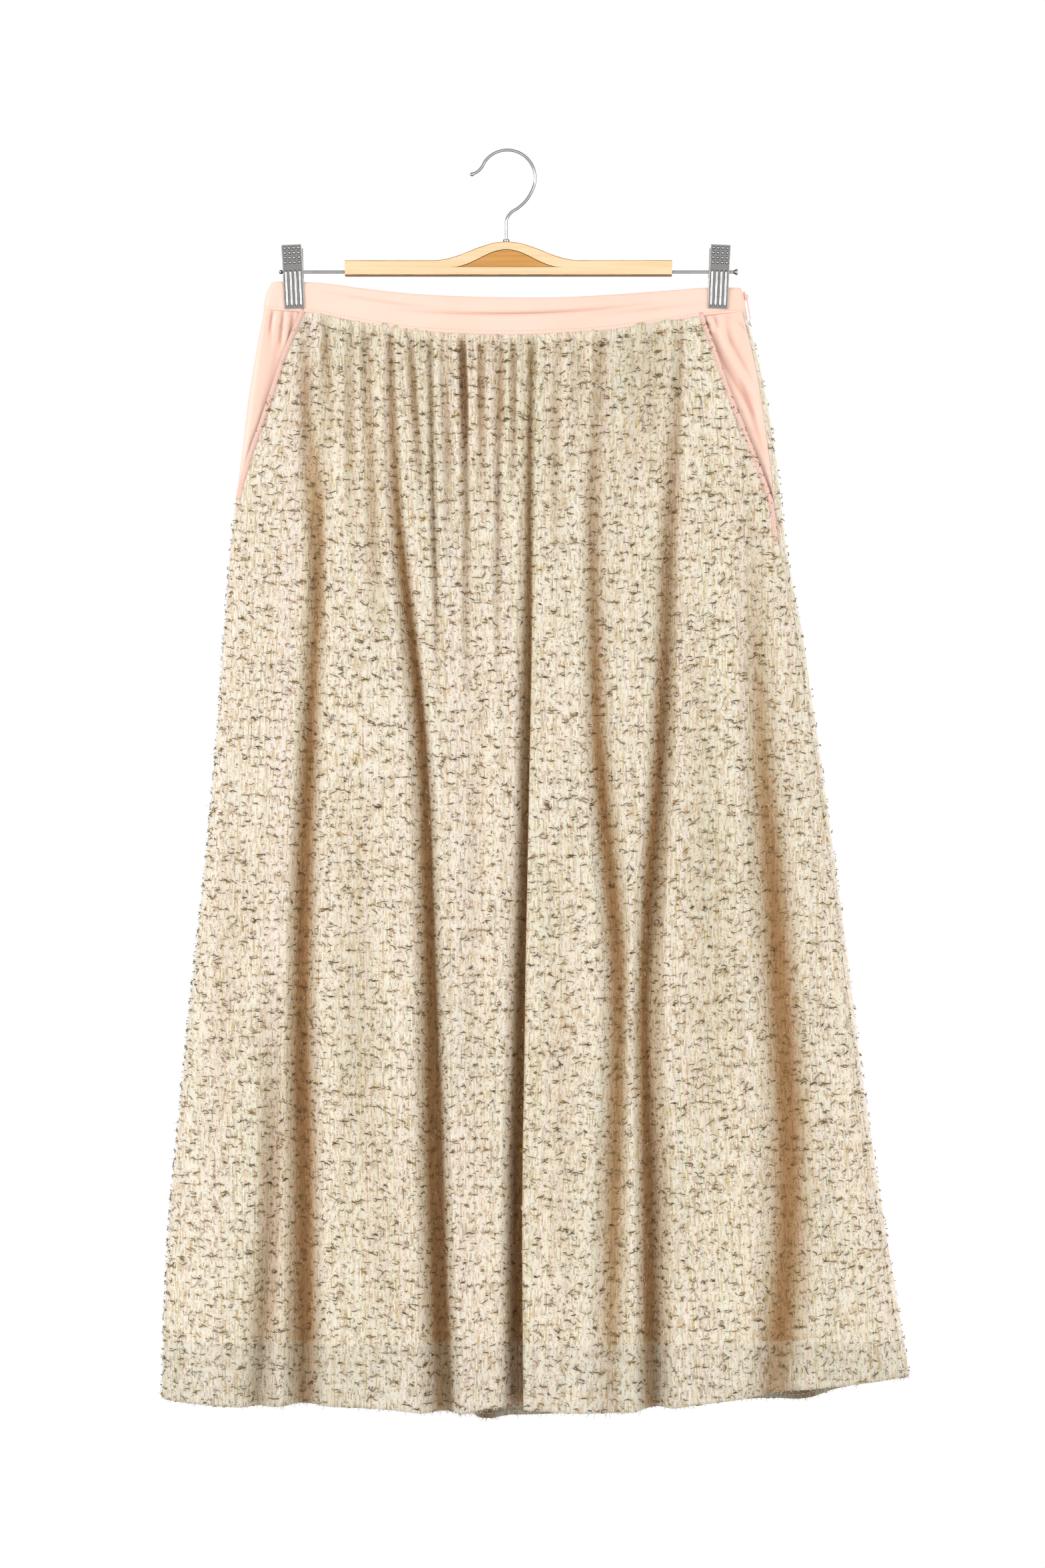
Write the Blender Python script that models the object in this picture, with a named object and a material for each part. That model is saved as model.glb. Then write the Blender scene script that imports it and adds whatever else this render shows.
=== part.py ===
"""A gathered, lined A-line skirt hung by two clips from a wooden hanger.

Run with blender --background --python part.py, or from Blender's text editor.
Blender's units are metres with +Z up. The sizes and tables here are in millimetres,
and new_object turns them into metres. The front faces -Y, +X is the viewer's right,
and the origin is the highest point inside the hook, where a rail carries the hanger.

"drop" is a distance below the rail. "across" runs over a flat tube of cloth, from -1
at its left outline to 1 at its right one. "round" goes on from there over the back:
it is 1 at the right outline, 2 at the middle of the back and 3 at the left outline.
"down" is 0 at the waistband's lower edge and 1 at the hem.
"""

import math
from collections import namedtuple

import bmesh
import bpy
import numpy as np

MM = 0.001
SEAM = 0.3  # between two pieces that meet

# Cloth
CLOTH = 1.0
BAND = 2.6
HEM_ALLOWANCE = 15.0
HEM_EXTRA = 1.0  # the turned-up layer makes the wall this much thicker inside
POCKET_TUCK = 12.0  # how far a hip panel runs on under the front panel
POCKET_SINK = CLOTH + 0.35
SINK_GROWTH = 9.0  # a hip panel hangs further behind the front lower down
BINDING_WIDTH = 4.2
LINING_INSET = 7.0
LINING_DROP = 978.0
LINING_TUCK = 8.0  # the lining's upper edge lies behind the band
LINING_SHARE = (0.38, 0.25)  # of the tube's depth, at the band and at the hem
LINING_FROM_BAND = 2.7
LINING_LEAVES_BAND = 25.0
LINING_COLUMNS = 24
LINING_ROWS = (0, 0.012, 0.04, 0.12, 0.35, 0.65, 1)
BACK_TURN = 0.05  # share of the back's columns that go round the right outline
HIP_COLUMNS = 9
BINDING_COLUMNS = 4
BAND_COLUMNS = 36

# Levels of the panels, as shares of the way down
ROWS = (
    *(0, 0.03, 0.07, 0.11, 0.145, 0.16, 0.173, 0.212),
    *(0.29, 0.4, 0.52, 0.66, 0.81, 0.981, 0.984, 1),
)
POCKET_ENDS = {"left": 0.18, "right": 0.22}

# The flat tube's half depth, from the mid plane to its ridges
BAND_REACH = 14.0
PINCH = 4.0  # under the clips, and at the ends
HEM_REACH = 46.0
HEM_ROUND = 18.0
WAIST_DROP = 145.0  # middle heights of the band's lower edge and of the hem
HEM_DROP = 1030.0

# Hanger
RAIL_RADIUS = 23.0  # of the hook, to the middle of its wire
WIRE = 2.3
BAR_LEFT, BAR_RIGHT = -131.5, 138.3
BAR_TOP, BAR_BOTTOM = 90.5, 102.6
BAR_DEPTH = 11.0
HUMP_CENTRE, HUMP_HALF, HUMP_HEIGHT = 1.7, 60.0, 15.3
HUMP_STEPS = 25
INLAY_HALF, INLAY_BOTTOM, INLAY_HEIGHT, INLAY_DEPTH = 44.5, 96.0, 14.5, 1.2
INLAY_FLOOR = 1.8
INLAY_REACH = 0.84  # its pointed ends are left out
HOOK_CENTRE_X = 2.5
HOOK_STEM_X = 1.7
HOOK_ARC = (158.0, -30.0)
HOOK_TIP = ((-28.0, -19.8), (-25.6, -18.4), (-22.3, -16.8))  # x and z
HOOK_NECK = (
    *((18.0, -40.4), (11.5, -46.5), (5.0, -51.0)),
    *((2.0, -56.0), (1.7, -62.0), (1.7, -72.3)),
)
HOOK_ARC_POINTS = 12
HOOK_STEPS = 40
BALL = 1.65
BALL_STATIONS = (0, 0.06, 0.25, 0.6, 1.0, 1.5, 1.8, 2.6)  # along the tip, in its radii
COLLAR = (2.7, 2.2)  # radius and height
COLLAR_SIDES = 16
ROD = 2.5
Turn = namedtuple("Turn", "before_end radius")
BALL_END = (Turn(3, 1.25), Turn(2.6, 1.5), Turn(1.5, 1.8), Turn(0.4, 1.4), Turn(0, 0.6))
FLARED_END = (Turn(3.4, 1.25), Turn(1.4, 2.4), Turn(0, 2.5))
ROD_DROP = 99.5
ROD_LEFT_END, ROD_RIGHT_END = -186.0, 192.5
CLIP_LEFT, CLIP_RIGHT = -174.0, 177.0
CLIP_TOP, CLIP_BOTTOM = 78.6, 130.4
CLIP_PLATE = 1.2
CLIP_GAP = PINCH + BAND / 2 + SEAM
CLIP_FLARE = 5.0
CLIP_LEAN = 0.045
CLIP_STEP = (2.2, 3.2)  # the plain step below the studs ends, and the ridges begin
CLIP_LIP = 1.1  # plain edge below the ridges
RIDGE, RIDGE_GAP, RIDGE_HEIGHT, RIDGE_TAPER = 2.5, 1.3, 0.7, 0.82
RIDGES = 4  # and as many rows of studs
SPRING_RADIUS, SPRING_LENGTH = 4.2, 9.0

# Zip, in its own frame: the hinge is the origin, x points out of the cloth
ZIP_HINGE = (200.1, 120.0)  # x and drop
ZIP_TILT = 9.0
SLIDER = (-2.6, 4.4, 1.0, 2.2)  # lower end, upper end, thickness, half width
SLIDER_CLEAR = 0.75
ARCH, ARCH_WIRE, ARCH_POINTS = 1.9, 0.45, 9
PULL_PLATE = 0.8
PULL_WINDOW = (1.1, -0.4, -3.2)  # half width, upper end, lower end
PullRow = namedtuple("PullRow", "low half")
PULL = (
    PullRow(0.4, 1.9),
    PullRow(-3.6, 1.9),
    PullRow(-4.5, 0.7),
    PullRow(-8.3, 0.6),
    PullRow(-11.0, 1.2),
    PullRow(-14.0, 2.1),
    PullRow(-16.0, 2.4),
    PullRow(-17.8, 2.0),
    PullRow(-18.8, 1.0),
)

# A soft crease runs along the band's middle, and its upper half leans back
BandRow = namedtuple("BandRow", "down out")
BAND_CREASE = (BandRow(0, -1.4), BandRow(0.42, 0.5), BandRow(0.55, 0.4), BandRow(1, 0))

Level = namedtuple("Level", "drop left right")
OUTLINE = (
    Level(106, -191, 194),
    Level(119, -197, 198),
    Level(133, -199, 200),
    Level(160, -204, 207),
    Level(195, -210, 215),
    Level(260, -218, 226),
    Level(325, -226, 233),
    Level(395, -231, 246),
    Level(490, -238, 260),
    Level(590, -247, 274),
    Level(690, -258, 287),
    Level(790, -268, 300),
    Level(890, -277, 315),
    Level(970, -281, 328),
    Level(1040, -283, 340),
)

Edge = namedtuple("Edge", "across band_top band_bottom front_hem back_hem")
EDGES = (  # drops
    Edge(-1.00, 108.0, 131.0, 1027, 1027),
    Edge(-0.80, 109.0, 134.0, 1031, 1030),
    Edge(-0.60, 114.0, 141.8, 1029, 1034),
    Edge(-0.40, 118.5, 148.5, 1031, 1040),
    Edge(-0.25, 120.5, 151.5, 1035, 1046),
    Edge(-0.10, 121.7, 153.0, 1029, 1050),
    Edge(0.05, 122.2, 153.3, 1033, 1049),
    Edge(0.20, 122.0, 152.0, 1034, 1043),
    Edge(0.40, 120.0, 149.0, 1028, 1038),
    Edge(0.60, 117.0, 143.2, 1021, 1035),
    Edge(0.70, 115.3, 140.0, 1017, 1033),
    Edge(0.85, 113.0, 135.5, 1013, 1022),
    Edge(1.00, 113.0, 133.0, 1008, 1008),
)

FOLD_DROPS = (160, 300, 480, 700, 860, 1030)
# Each fold is a trough: its x and its depth at FOLD_DROPS, and how far it reaches to
# its left and right at the hem. A short side is the sharp edge of an overhanging ridge.
Fold = namedtuple("Fold", "name x depth left right")
FRONT_FOLDS = (
    Fold("side_left", (-190, -190, -190, -188, -191, -201), (0, 0, 0, 2, 9, 12), 14, 12),
    Fold("hip_left", (-149, -152, -161, -168, -166, -166), (1, 4, 11, 17, 20, 22), 16, 26),
    Fold("left", (-93, -86, -66, -57, -53, -46), (4, 8, 16, 24, 28, 30), 24, 9),
    Fold("gather_a", (-62, -58, -54, -50, -46, -40), (4, 5, 0, 0, 0, 0), 9, 9),
    Fold("gather_b", (-35, -31, -31, -31, -31, -31), (4, 4, 0, 0, 0, 0), 9, 9),
    Fold("gather_c", (-6, -5, -5, -5, -5, -5), (4, 4, 0, 0, 0, 0), 9, 9),
    Fold("centre", (23, 22, 21, 18, 15, 15), (5, 9, 16, 24, 28, 30), 22, 9),
    Fold("right", (78, 74, 77, 94, 90, 87), (3, 6, 10, 13, 10, 6), 24, 24),
    Fold("gather_d", (107, 106, 106, 106, 106, 106), (4, 1, 0, 0, 0, 0), 9, 9),
    Fold("hip_right", (146, 138, 131, 118, 122, 124), (3, 7, 15, 22, 24, 26), 22, 9),
    Fold("side_right", (200, 205, 212, 228, 234, 222), (0, 1, 7, 13, 12, 14), 34, 30),
)
BACK_FOLDS = (
    Fold("side_left", (-196, -200, -208, -216, -224, -232), (0, 1, 5, 9, 12, 14), 22, 18),
    Fold("hip_left", (-140, -142, -146, -148, -152, -158), (2, 6, 13, 19, 22, 24), 12, 24),
    Fold("left", (-84, -80, -78, -84, -86, -88), (4, 8, 14, 18, 22, 24), 22, 12),
    Fold("centre", (-22, -20, -16, -12, -14, -18), (4, 8, 16, 22, 26, 28), 10, 24),
    Fold("right", (40, 46, 54, 60, 66, 74), (4, 7, 12, 16, 18, 16), 20, 20),
    Fold("hip_right", (104, 110, 124, 138, 148, 156), (4, 8, 15, 21, 24, 26), 26, 12),
    Fold("side_right", (180, 190, 206, 222, 236, 250), (0, 1, 6, 10, 12, 14), 26, 24),
)
FOLD_WIDTH_AT_WAIST = 0.45  # of its width at the hem
FOLD_MOST = (0.5, 0.64)  # the deepest a fold goes, as shares of the tube's half depth
FOLD_ONSET = 15.0  # distance below the band where a fold has its depth

# Each panel is divided across into slots. A main fold keeps to its slot all the way down,
# and each slot between the first and last of these has one small gather under the band.
Anchor = namedtuple("Anchor", "slot fold")
FRONT_SLOTS, BACK_SLOTS = 37, 20
FRONT_ANCHORS = (
    Anchor(4, "hip_left"),
    Anchor(9, "left"),
    Anchor(23, "centre"),
    Anchor(28, "right"),
    Anchor(31, "hip_right"),
)
BACK_ANCHORS = (
    Anchor(4, "hip_left"),
    Anchor(7, "left"),
    Anchor(10, "centre"),
    Anchor(13, "right"),
    Anchor(16, "hip_right"),
)
GATHERED_SLOTS = {"front": (3, 31), "back": (1, 19)}
GATHER_DEPTH = 3.2
GATHER_SHORT, GATHER_LONG = 70.0, 190.0  # how far down they last
GATHER_AT_SEAM = 0.25  # of their depth, where the band flattens them
COLUMNS_PER_SLOT = 3
EVEN_UNTIL = 0.45  # above this share of the way down, columns aren't yet closest at the folds
RIM = (0.0, 1.0, 3.0, 7.0)  # columns this far from a side edge, as it curves most there

Point = namedtuple("Point", "drop x")
POCKET_LEFT = (
    Point(131, -168),
    Point(165, -182),
    Point(192, -191),
    Point(222, -201),
    Point(250, -211),
    Point(270, -217),
    Point(286, -222),
)
POCKET_RIGHT = (
    Point(134, 164),
    Point(165, 175),
    Point(197, 186),
    Point(232, 200),
    Point(260, 211),
    Point(285, 220),
    Point(318, 231),
)
# The right side seam lies this far in front of the outline
SeamInset = namedtuple("SeamInset", "drop inset")
SEAM_RIGHT = (SeamInset(133, 3), SeamInset(190, 4), SeamInset(230, 5.5), SeamInset(420, 5.5))


def column(table, name):
    return np.array([getattr(row, name) for row in table], float)


def curve_through(at, places, values):
    """A smooth curve through a short table, read at any place."""
    places, values = np.asarray(places, float), np.asarray(values, float)
    slopes = np.gradient(values, places)
    at = np.clip(at, places[0], places[-1])
    i = np.clip(np.searchsorted(places, at) - 1, 0, len(places) - 2)
    width = places[i + 1] - places[i]
    u = (at - places[i]) / width
    start = values[i] * (1 + 2 * u) + slopes[i] * width * u
    end = values[i + 1] * (3 - 2 * u) + slopes[i + 1] * width * (u - 1)
    return start * (1 - u) ** 2 + end * u**2


def read(table, key, value, at):
    return curve_through(at, column(table, key), column(table, value))


def ease(u):
    u = np.clip(u, 0, 1)
    return u * u * (3 - 2 * u)


def mix(a, b, share):
    return a + (b - a) * share


def fraction(index, step):
    """A number from 0 to 1 that jumps about with the index, the same on each run."""
    return (index * step) % 1


# The skirt's form


def sides(drop, inset):
    """Middle and half width of the tube at a drop."""
    left = read(OUTLINE, "drop", "left", drop) + inset
    right = read(OUTLINE, "drop", "right", drop) - inset
    return (left + right) / 2, (right - left) / 2


def base_reach(x, across, drop):
    """Half depth of the tube without its folds and its rounded ends."""
    down = np.clip((drop - WAIST_DROP) / (HEM_DROP - WAIST_DROP), 0, 1)
    between = np.clip((x - CLIP_LEFT) / (CLIP_RIGHT - CLIP_LEFT), 0, 1)
    crown_at_band = np.sin(math.pi * between) ** 2
    crown_at_hem = (1 - np.abs(across) ** 2.2) ** 0.8
    crown = mix(crown_at_band, crown_at_hem, ease(down * 3.5))
    low = PINCH + (HEM_ROUND - PINCH) * down**0.9
    high = BAND_REACH + (HEM_REACH - BAND_REACH) * down**0.8
    return low, low + (high - low) * crown, down


def fold_depth(folds, x, drop):
    down = np.clip((drop - WAIST_DROP) / (HEM_DROP - WAIST_DROP), 0, 1)
    total = np.zeros_like(x)
    for fold in folds:
        off = x - curve_through(drop, FOLD_DROPS, fold.x)
        width = np.where(off < 0, fold.left, fold.right) * mix(FOLD_WIDTH_AT_WAIST, 1, down)
        depth = np.maximum(curve_through(drop, FOLD_DROPS, fold.depth), 0)
        total += depth * np.cos(np.clip(off / width, -1, 1) * math.pi / 2) ** 2
    return total


def tube(round_, drop, inset, below, swell=0.0):
    """Points of the tube. below is the distance from the band, where its folds begin."""
    front = round_ <= 1
    across = np.where(front, round_, 2 - round_)
    middle, half = sides(drop, inset)
    x = middle + half * across
    low, reach, down = base_reach(x, across, drop)
    edge = half * (1 - np.abs(across))
    roundness = np.sqrt(1 - (1 - np.clip(edge / low, 0, 1)) ** 2)
    troughs = np.where(
        front, fold_depth(FRONT_FOLDS, x, drop), fold_depth(BACK_FOLDS, x, drop)
    )
    most = reach * mix(*FOLD_MOST, down)
    reach = reach - most * np.tanh(troughs / most) * ease(below / FOLD_ONSET)
    y = (reach + swell) * roundness
    return np.stack([x, np.where(front, -y, y), -drop], axis=-1)


def end_gap(drop):
    """How far before a side outline a piece stops, as a share of the half width, so that
    it ends half a seam from the mid plane."""
    low = base_reach(np.float64(0), np.float64(0), drop)[0]
    return (SEAM / 2) ** 2 / (2 * low) / sides(drop, 0)[1]


def panel_drop(across, down, hem):
    top = read(EDGES, "across", "band_bottom", across) + SEAM
    return mix(top, read(EDGES, "across", hem, across), down)


def pocket_edge(down, pocket, outer):
    """Across of a pocket's edge, or of the side seam below the pocket. outer is -1 or 1."""
    across = 0.85 * outer
    for _ in range(6):
        drop = panel_drop(across, down, "front_hem")
        middle, half = sides(drop, CLOTH / 2)
        seam = seam_across(down, outer)
        if drop > pocket[-1].drop:
            return seam
        across = (read(pocket, "drop", "x", drop) - middle) / half
        across = outer * min(outer * across, outer * seam)
    return across


def seam_across(down, outer):
    drop = panel_drop(outer, down, "front_hem")
    half = sides(drop, CLOTH / 2)[1]
    if outer < 0:
        return -1 + end_gap(drop)
    inset = read(SEAM_RIGHT, "drop", "inset", drop)
    return 1 - (inset + SEAM / 2) / half


def crowded(share, low, high, down, folds):
    """Even places between low and high, closer together near the folds."""
    drop = mix(WAIST_DROP, HEM_DROP, down)
    middle, half = sides(drop, 0)
    fine = np.linspace(low, high, 800)
    weight = np.ones_like(fine)
    for fold in folds:
        off = middle + half * fine - curve_through(drop, FOLD_DROPS, fold.x)
        depth = max(curve_through(drop, FOLD_DROPS, fold.depth), 0)
        weight += depth / 12 * np.exp(-((off / (fold.left + fold.right) * 2) ** 2))
    running = np.concatenate([[0], np.cumsum((weight[1:] + weight[:-1]) / 2)])
    return np.interp(share * running[-1], running, fine)


def places(slot, slots, low, high, down, anchors, folds):
    """Across for these slots of a panel: the anchors keep to their folds, and columns
    between them are even at the band and closest near the folds lower down."""
    drop = mix(WAIST_DROP, HEM_DROP, down)
    middle, half = sides(drop, 0)
    fold_x = {fold.name: curve_through(drop, FOLD_DROPS, fold.x) for fold in folds}
    marks = [(1, low), *((a.slot, (fold_x[a.fold] - middle) / half) for a in anchors)]
    marks.append((slots - 1, high))
    across = np.zeros_like(slot)
    for (first, start), (last, end) in zip(marks, marks[1:]):
        here = (slot >= first) & (slot <= last)
        inside = (slot[here] - first) / (last - first)
        spread = crowded(inside, start, end, down, folds)
        across[here] = mix(mix(start, end, inside), spread, ease(down / EVEN_UNTIL))
    return across


def gathers(slot, gathered, below):
    """How far the small gathers stand out, at a distance below the band."""
    index = np.floor(slot)
    depth = GATHER_DEPTH * mix(0.5, 1, fraction(index, 0.618))
    depth = np.where((index < gathered[0]) | (index >= gathered[1]), 0, depth)
    length = mix(GATHER_SHORT, GATHER_LONG, fraction(index, 0.382))
    onset = mix(GATHER_AT_SEAM, 1, ease(below / 15))
    return depth * onset * np.sin(math.pi * slot) ** 2 * (1 - ease(below / length))


def rimmed(slot, slots, low, high, down, anchors, folds):
    """Across for these slots: the columns of RIM fill the first and the last one."""
    half = sides(mix(WAIST_DROP, HEM_DROP, down), 0)[1]
    steps = len(RIM) - 1
    from_left = np.interp(slot * steps, range(len(RIM)), RIM) / half
    from_right = np.interp((slots - slot) * steps, range(len(RIM)), RIM) / half
    inner = (low + RIM[-1] / half, high - RIM[-1] / half)
    between = places(slot, slots, *inner, down, anchors, folds)
    across = np.where(slot < 1, low + from_left, between)
    return np.where(slot > slots - 1, high - from_right, across)


def front_row(share, down):
    """One level of the front panel: points for columns at these shares of its width."""
    low, high = pocket_edge(down, POCKET_LEFT, -1), pocket_edge(down, POCKET_RIGHT, 1)
    slot = share * FRONT_SLOTS
    across = rimmed(slot, FRONT_SLOTS, low, high, down, FRONT_ANCHORS, FRONT_FOLDS)
    drop = panel_drop(across, down, "front_hem")
    below = drop - read(EDGES, "across", "band_bottom", across)
    swell = gathers(slot, GATHERED_SLOTS["front"], below)
    return tube(across, drop, CLOTH / 2, below, swell)


def back_row(share, down):
    """One level of the back panel, from the right side seam round to the left one."""
    seam = seam_across(down, 1) + 2 * SEAM / sides(WAIST_DROP, 0)[1]
    low = -1 + end_gap(panel_drop(-1, down, "back_hem"))
    over_back = np.clip((share - BACK_TURN) / (1 - BACK_TURN), 0, 1)
    slot = (1 - over_back) * BACK_SLOTS
    across = rimmed(slot, BACK_SLOTS, low, 1, down, BACK_ANCHORS, BACK_FOLDS)
    turning = share < BACK_TURN
    round_ = np.where(turning, mix(seam, 1, share / BACK_TURN), 2 - across)
    across = np.where(turning, round_, across)
    drop = np.where(
        turning, panel_drop(across, down, "front_hem"), panel_drop(across, down, "back_hem")
    )
    below = drop - read(EDGES, "across", "band_bottom", across)
    swell = np.where(turning, 0, gathers(slot, GATHERED_SLOTS["back"], below))
    return tube(round_, drop, CLOTH / 2, below, swell)


def hip_row(share, down, pocket, outer):
    """One level of a hip panel and how far each of its points sinks under the front."""
    seam, mouth = seam_across(down, outer), pocket_edge(down, pocket, outer)
    half = sides(mix(WAIST_DROP, HEM_DROP, down), 0)[1]
    inner = mouth - outer * POCKET_TUCK / half
    steps = (share if outer < 0 else 1 - share) * (HIP_COLUMNS - 1)
    rim = len(RIM) - 1
    turned_edge = seam - outer * np.interp(steps, range(len(RIM)), RIM) / half
    flat = mix(seam - outer * RIM[-1] / half, inner, (steps - rim) / (HIP_COLUMNS - 1 - rim))
    across = np.where(steps < rim, turned_edge, flat)
    shown = max(abs(mouth - seam), 1e-6)
    level = 1 - np.clip(np.abs(across - seam) / shown, 0, 1)
    covered = 1 - level * ease(shown * half / POCKET_TUCK)
    sink = POCKET_SINK * (1 + down * SINK_GROWTH) * covered
    drop = panel_drop(across, down, "front_hem")
    below = drop - read(EDGES, "across", "band_bottom", across)
    return tube(across, drop, CLOTH / 2, below), sink


def binding_row(share, down, pocket, outer):
    mouth = pocket_edge(down, pocket, outer)
    width = BINDING_WIDTH / sides(mix(WAIST_DROP, HEM_DROP, down), 0)[1]
    from_mouth = (share if outer < 0 else 1 - share) ** 2
    across = mouth - outer * width * from_mouth
    drop = panel_drop(across, down, "front_hem")
    below = drop - read(EDGES, "across", "band_bottom", across)
    return tube(across, drop, CLOTH / 2, below)


def rounded_ends(share, gap):
    """Places from one outline to the other, closer together towards them."""
    return (1 - gap) * np.sin(math.pi * (share - 0.5))


def lining_row(share, down, side):
    """One level of a lining half. side is -1 for the front and 1 for the back."""
    across = -side * rounded_ends(share, end_gap(WAIST_DROP) / LINING_SHARE[0])
    band = read(EDGES, "across", "band_bottom", across)
    drop = mix(band - LINING_TUCK, LINING_DROP, down)
    below = drop - band
    middle, half = sides(drop, LINING_INSET)
    x = middle + half * across
    low, reach, progress = base_reach(x, across, drop)
    slim = mix(*LINING_SHARE, progress)
    sewn = 1 - ease(below / LINING_LEAVES_BAND)
    hung = mix(slim * reach, reach - LINING_FROM_BAND, sewn)
    radius = slim * low
    edge = half * (1 - np.abs(across))
    roundness = np.sqrt(1 - (1 - np.clip(edge / radius, 0, 1)) ** 2)
    return np.stack([x, side * hung * roundness, -drop], axis=-1)


def band_row(share, down, side):
    """One level of a waistband half, with the soft crease along its middle."""
    across = -side * rounded_ends(share, end_gap(WAIST_DROP))
    top = read(EDGES, "across", "band_top", across)
    drop = mix(top, read(EDGES, "across", "band_bottom", across), down)
    middle, half = sides(drop, BAND / 2)
    between = (middle + half * across - CLIP_LEFT) / (CLIP_RIGHT - CLIP_LEFT)
    crown = np.sin(math.pi * np.clip(between, 0, 1)) ** 2
    lean = np.interp(down, [row.down for row in BAND_CREASE], [row.out for row in BAND_CREASE])
    round_ = across if side < 0 else 2 - across
    return tube(round_, drop, BAND / 2, 0, lean * crown)


# Meshes


def normals(points):
    """Outward normals of a grid whose rows go down and whose columns go round."""
    facing = np.cross(np.gradient(points, axis=0), np.gradient(points, axis=1))
    facing[0, :, 2] = facing[-1, :, 2] = 0
    facing[np.abs(points[..., 1]) < SEAM, 1] = 0
    return facing / np.linalg.norm(facing, axis=-1, keepdims=True)


def wall(points, outward, inward):
    """A closed sheet round a grid of points: its vertices and faces."""
    rows, columns = points.shape[:2]
    facing = normals(points)
    outer = points + facing * np.broadcast_to(outward, (rows, columns))[..., None]
    inner = points - facing * np.broadcast_to(inward, (rows, columns))[..., None]
    vertices = np.concatenate([outer.reshape(-1, 3), inner.reshape(-1, 3)])
    index = np.arange(rows * columns).reshape(rows, columns)
    far = index + rows * columns
    faces = []
    for i in range(rows - 1):
        for j in range(columns - 1):
            face = (index[i, j], index[i + 1, j], index[i + 1, j + 1], index[i, j + 1])
            faces.append(face)
            faces.append(tuple(k + rows * columns for k in face[::-1]))
    rim = [*index[0, :], *index[1:, -1], *index[-1, -2::-1], *index[-2:0:-1, 0]]
    back = [*far[0, :], *far[1:, -1], *far[-1, -2::-1], *far[-2:0:-1, 0]]
    for k in range(len(rim)):
        after = (k + 1) % len(rim)
        faces.append((rim[k], rim[after], back[after], back[k]))
    return vertices, faces


def new_object(name, vertices, faces, material, place=(0, 0, 0)):
    mesh = bpy.data.meshes.new(name)
    mesh.from_pydata([tuple(float(v) * MM for v in vertex) for vertex in vertices], [], faces)
    mesh.materials.append(material)
    obj = bpy.data.objects.new(name, mesh)
    obj.location = [v * MM for v in place]
    bpy.context.collection.objects.link(obj)
    return obj


def new_material(name, colour, roughness, metallic=0.0):
    material = bpy.data.materials.new(name)
    material.use_nodes = True
    shader = material.node_tree.nodes["Principled BSDF"]
    shader.inputs["Base Color"].default_value = (*colour, 1)
    shader.inputs["Roughness"].default_value = roughness
    shader.inputs["Metallic"].default_value = metallic
    return material


def grid_of(row, rows, columns, *more):
    share = np.linspace(0, 1, columns)
    return np.stack([row(share, down, *more) for down in rows])


def panels(cloth):
    hem = np.where(np.array(ROWS) > 1 - HEM_ALLOWANCE / 880, HEM_EXTRA, 0)[:, None]
    for name, row, slots in (
        ("front_panel", front_row, FRONT_SLOTS),
        ("back_panel", back_row, BACK_SLOTS),
    ):
        points = grid_of(row, ROWS, slots * COLUMNS_PER_SLOT + 1)
        new_object(name, *wall(points, CLOTH / 2, CLOTH / 2 + hem), cloth)


def hips(satin, twill):
    for side, pocket, outer in (("left", POCKET_LEFT, -1), ("right", POCKET_RIGHT, 1)):
        rows = [down for down in ROWS if down <= POCKET_ENDS[side]]
        levels = [hip_row(np.linspace(0, 1, HIP_COLUMNS), down, pocket, outer) for down in rows]
        points = np.stack([level[0] for level in levels])
        sink = np.stack([level[1] for level in levels])
        points = points - normals(points) * sink[..., None]
        new_object(f"hip_panel_{side}", *wall(points, CLOTH / 2, CLOTH / 2), satin)
        edge = grid_of(binding_row, rows, BINDING_COLUMNS, pocket, outer)
        lift = CLOTH / 2 + 1.5 * SEAM
        new_object(f"pocket_binding_{side}", *wall(edge, lift + CLOTH, -lift), twill)


def lining(voile):
    for name, side in (("lining_front", -1), ("lining_back", 1)):
        points = grid_of(lining_row, LINING_ROWS, LINING_COLUMNS, side)
        new_object(name, *wall(points, CLOTH / 2, CLOTH / 2), voile)


def waistband(satin):
    for name, side in (("waistband_front", -1), ("waistband_back", 1)):
        rows = [row.down for row in BAND_CREASE]
        points = grid_of(band_row, rows, BAND_COLUMNS, side)
        new_object(name, *wall(points, BAND / 2, BAND / 2), satin)


def along_x(y, z, at):
    return at, y, z


def along_y(x, drop, at):
    return x, at, -drop


def along_z(x, y, at):
    return x, y, at


def pushed(outline, near, far, place):
    """A flat outline pushed from near to far. place gives a point's x, y and z."""
    count = len(outline)
    vertices = [place(a, b, at) for at in (near, far) for a, b in outline]
    faces = [tuple(range(count)), tuple(range(2 * count - 1, count - 1, -1))]
    faces += [(k, k + count, (k + 1) % count + count, (k + 1) % count) for k in range(count)]
    return vertices, faces


def block(low, high):
    """A box between two corners."""
    outline = [(low[1], low[2]), (high[1], low[2]), (high[1], high[2]), (low[1], high[2])]
    return pushed(outline, low[0], high[0], along_x)


def wire(line, radius, around=8):
    """A thin round wire along a line of (x, z) points."""
    vertices, faces = [], []
    for k, (u, v) in enumerate(line):
        before, after = line[max(k - 1, 0)], line[min(k + 1, len(line) - 1)]
        along = math.atan2(after[1] - before[1], after[0] - before[0])
        for a in np.arange(around) * 2 * math.pi / around:
            out = radius * math.cos(a)
            y = radius * math.sin(a)
            vertices.append((u - out * math.sin(along), y, v + out * math.cos(along)))
    for k in range(len(line) - 1):
        start = k * around
        for j in range(around):
            after = (j + 1) % around
            faces.append((start + j, start + after, start + around + after, start + around + j))
    last = around * len(line) - 1
    faces += [tuple(range(around)), tuple(range(last, last - around, -1))]
    return vertices, faces


def turn_outwards(shape):
    bmesh.ops.recalc_face_normals(shape, faces=shape.faces)
    if shape.calc_volume(signed=True) < 0:
        bmesh.ops.reverse_faces(shape, faces=shape.faces)


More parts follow.
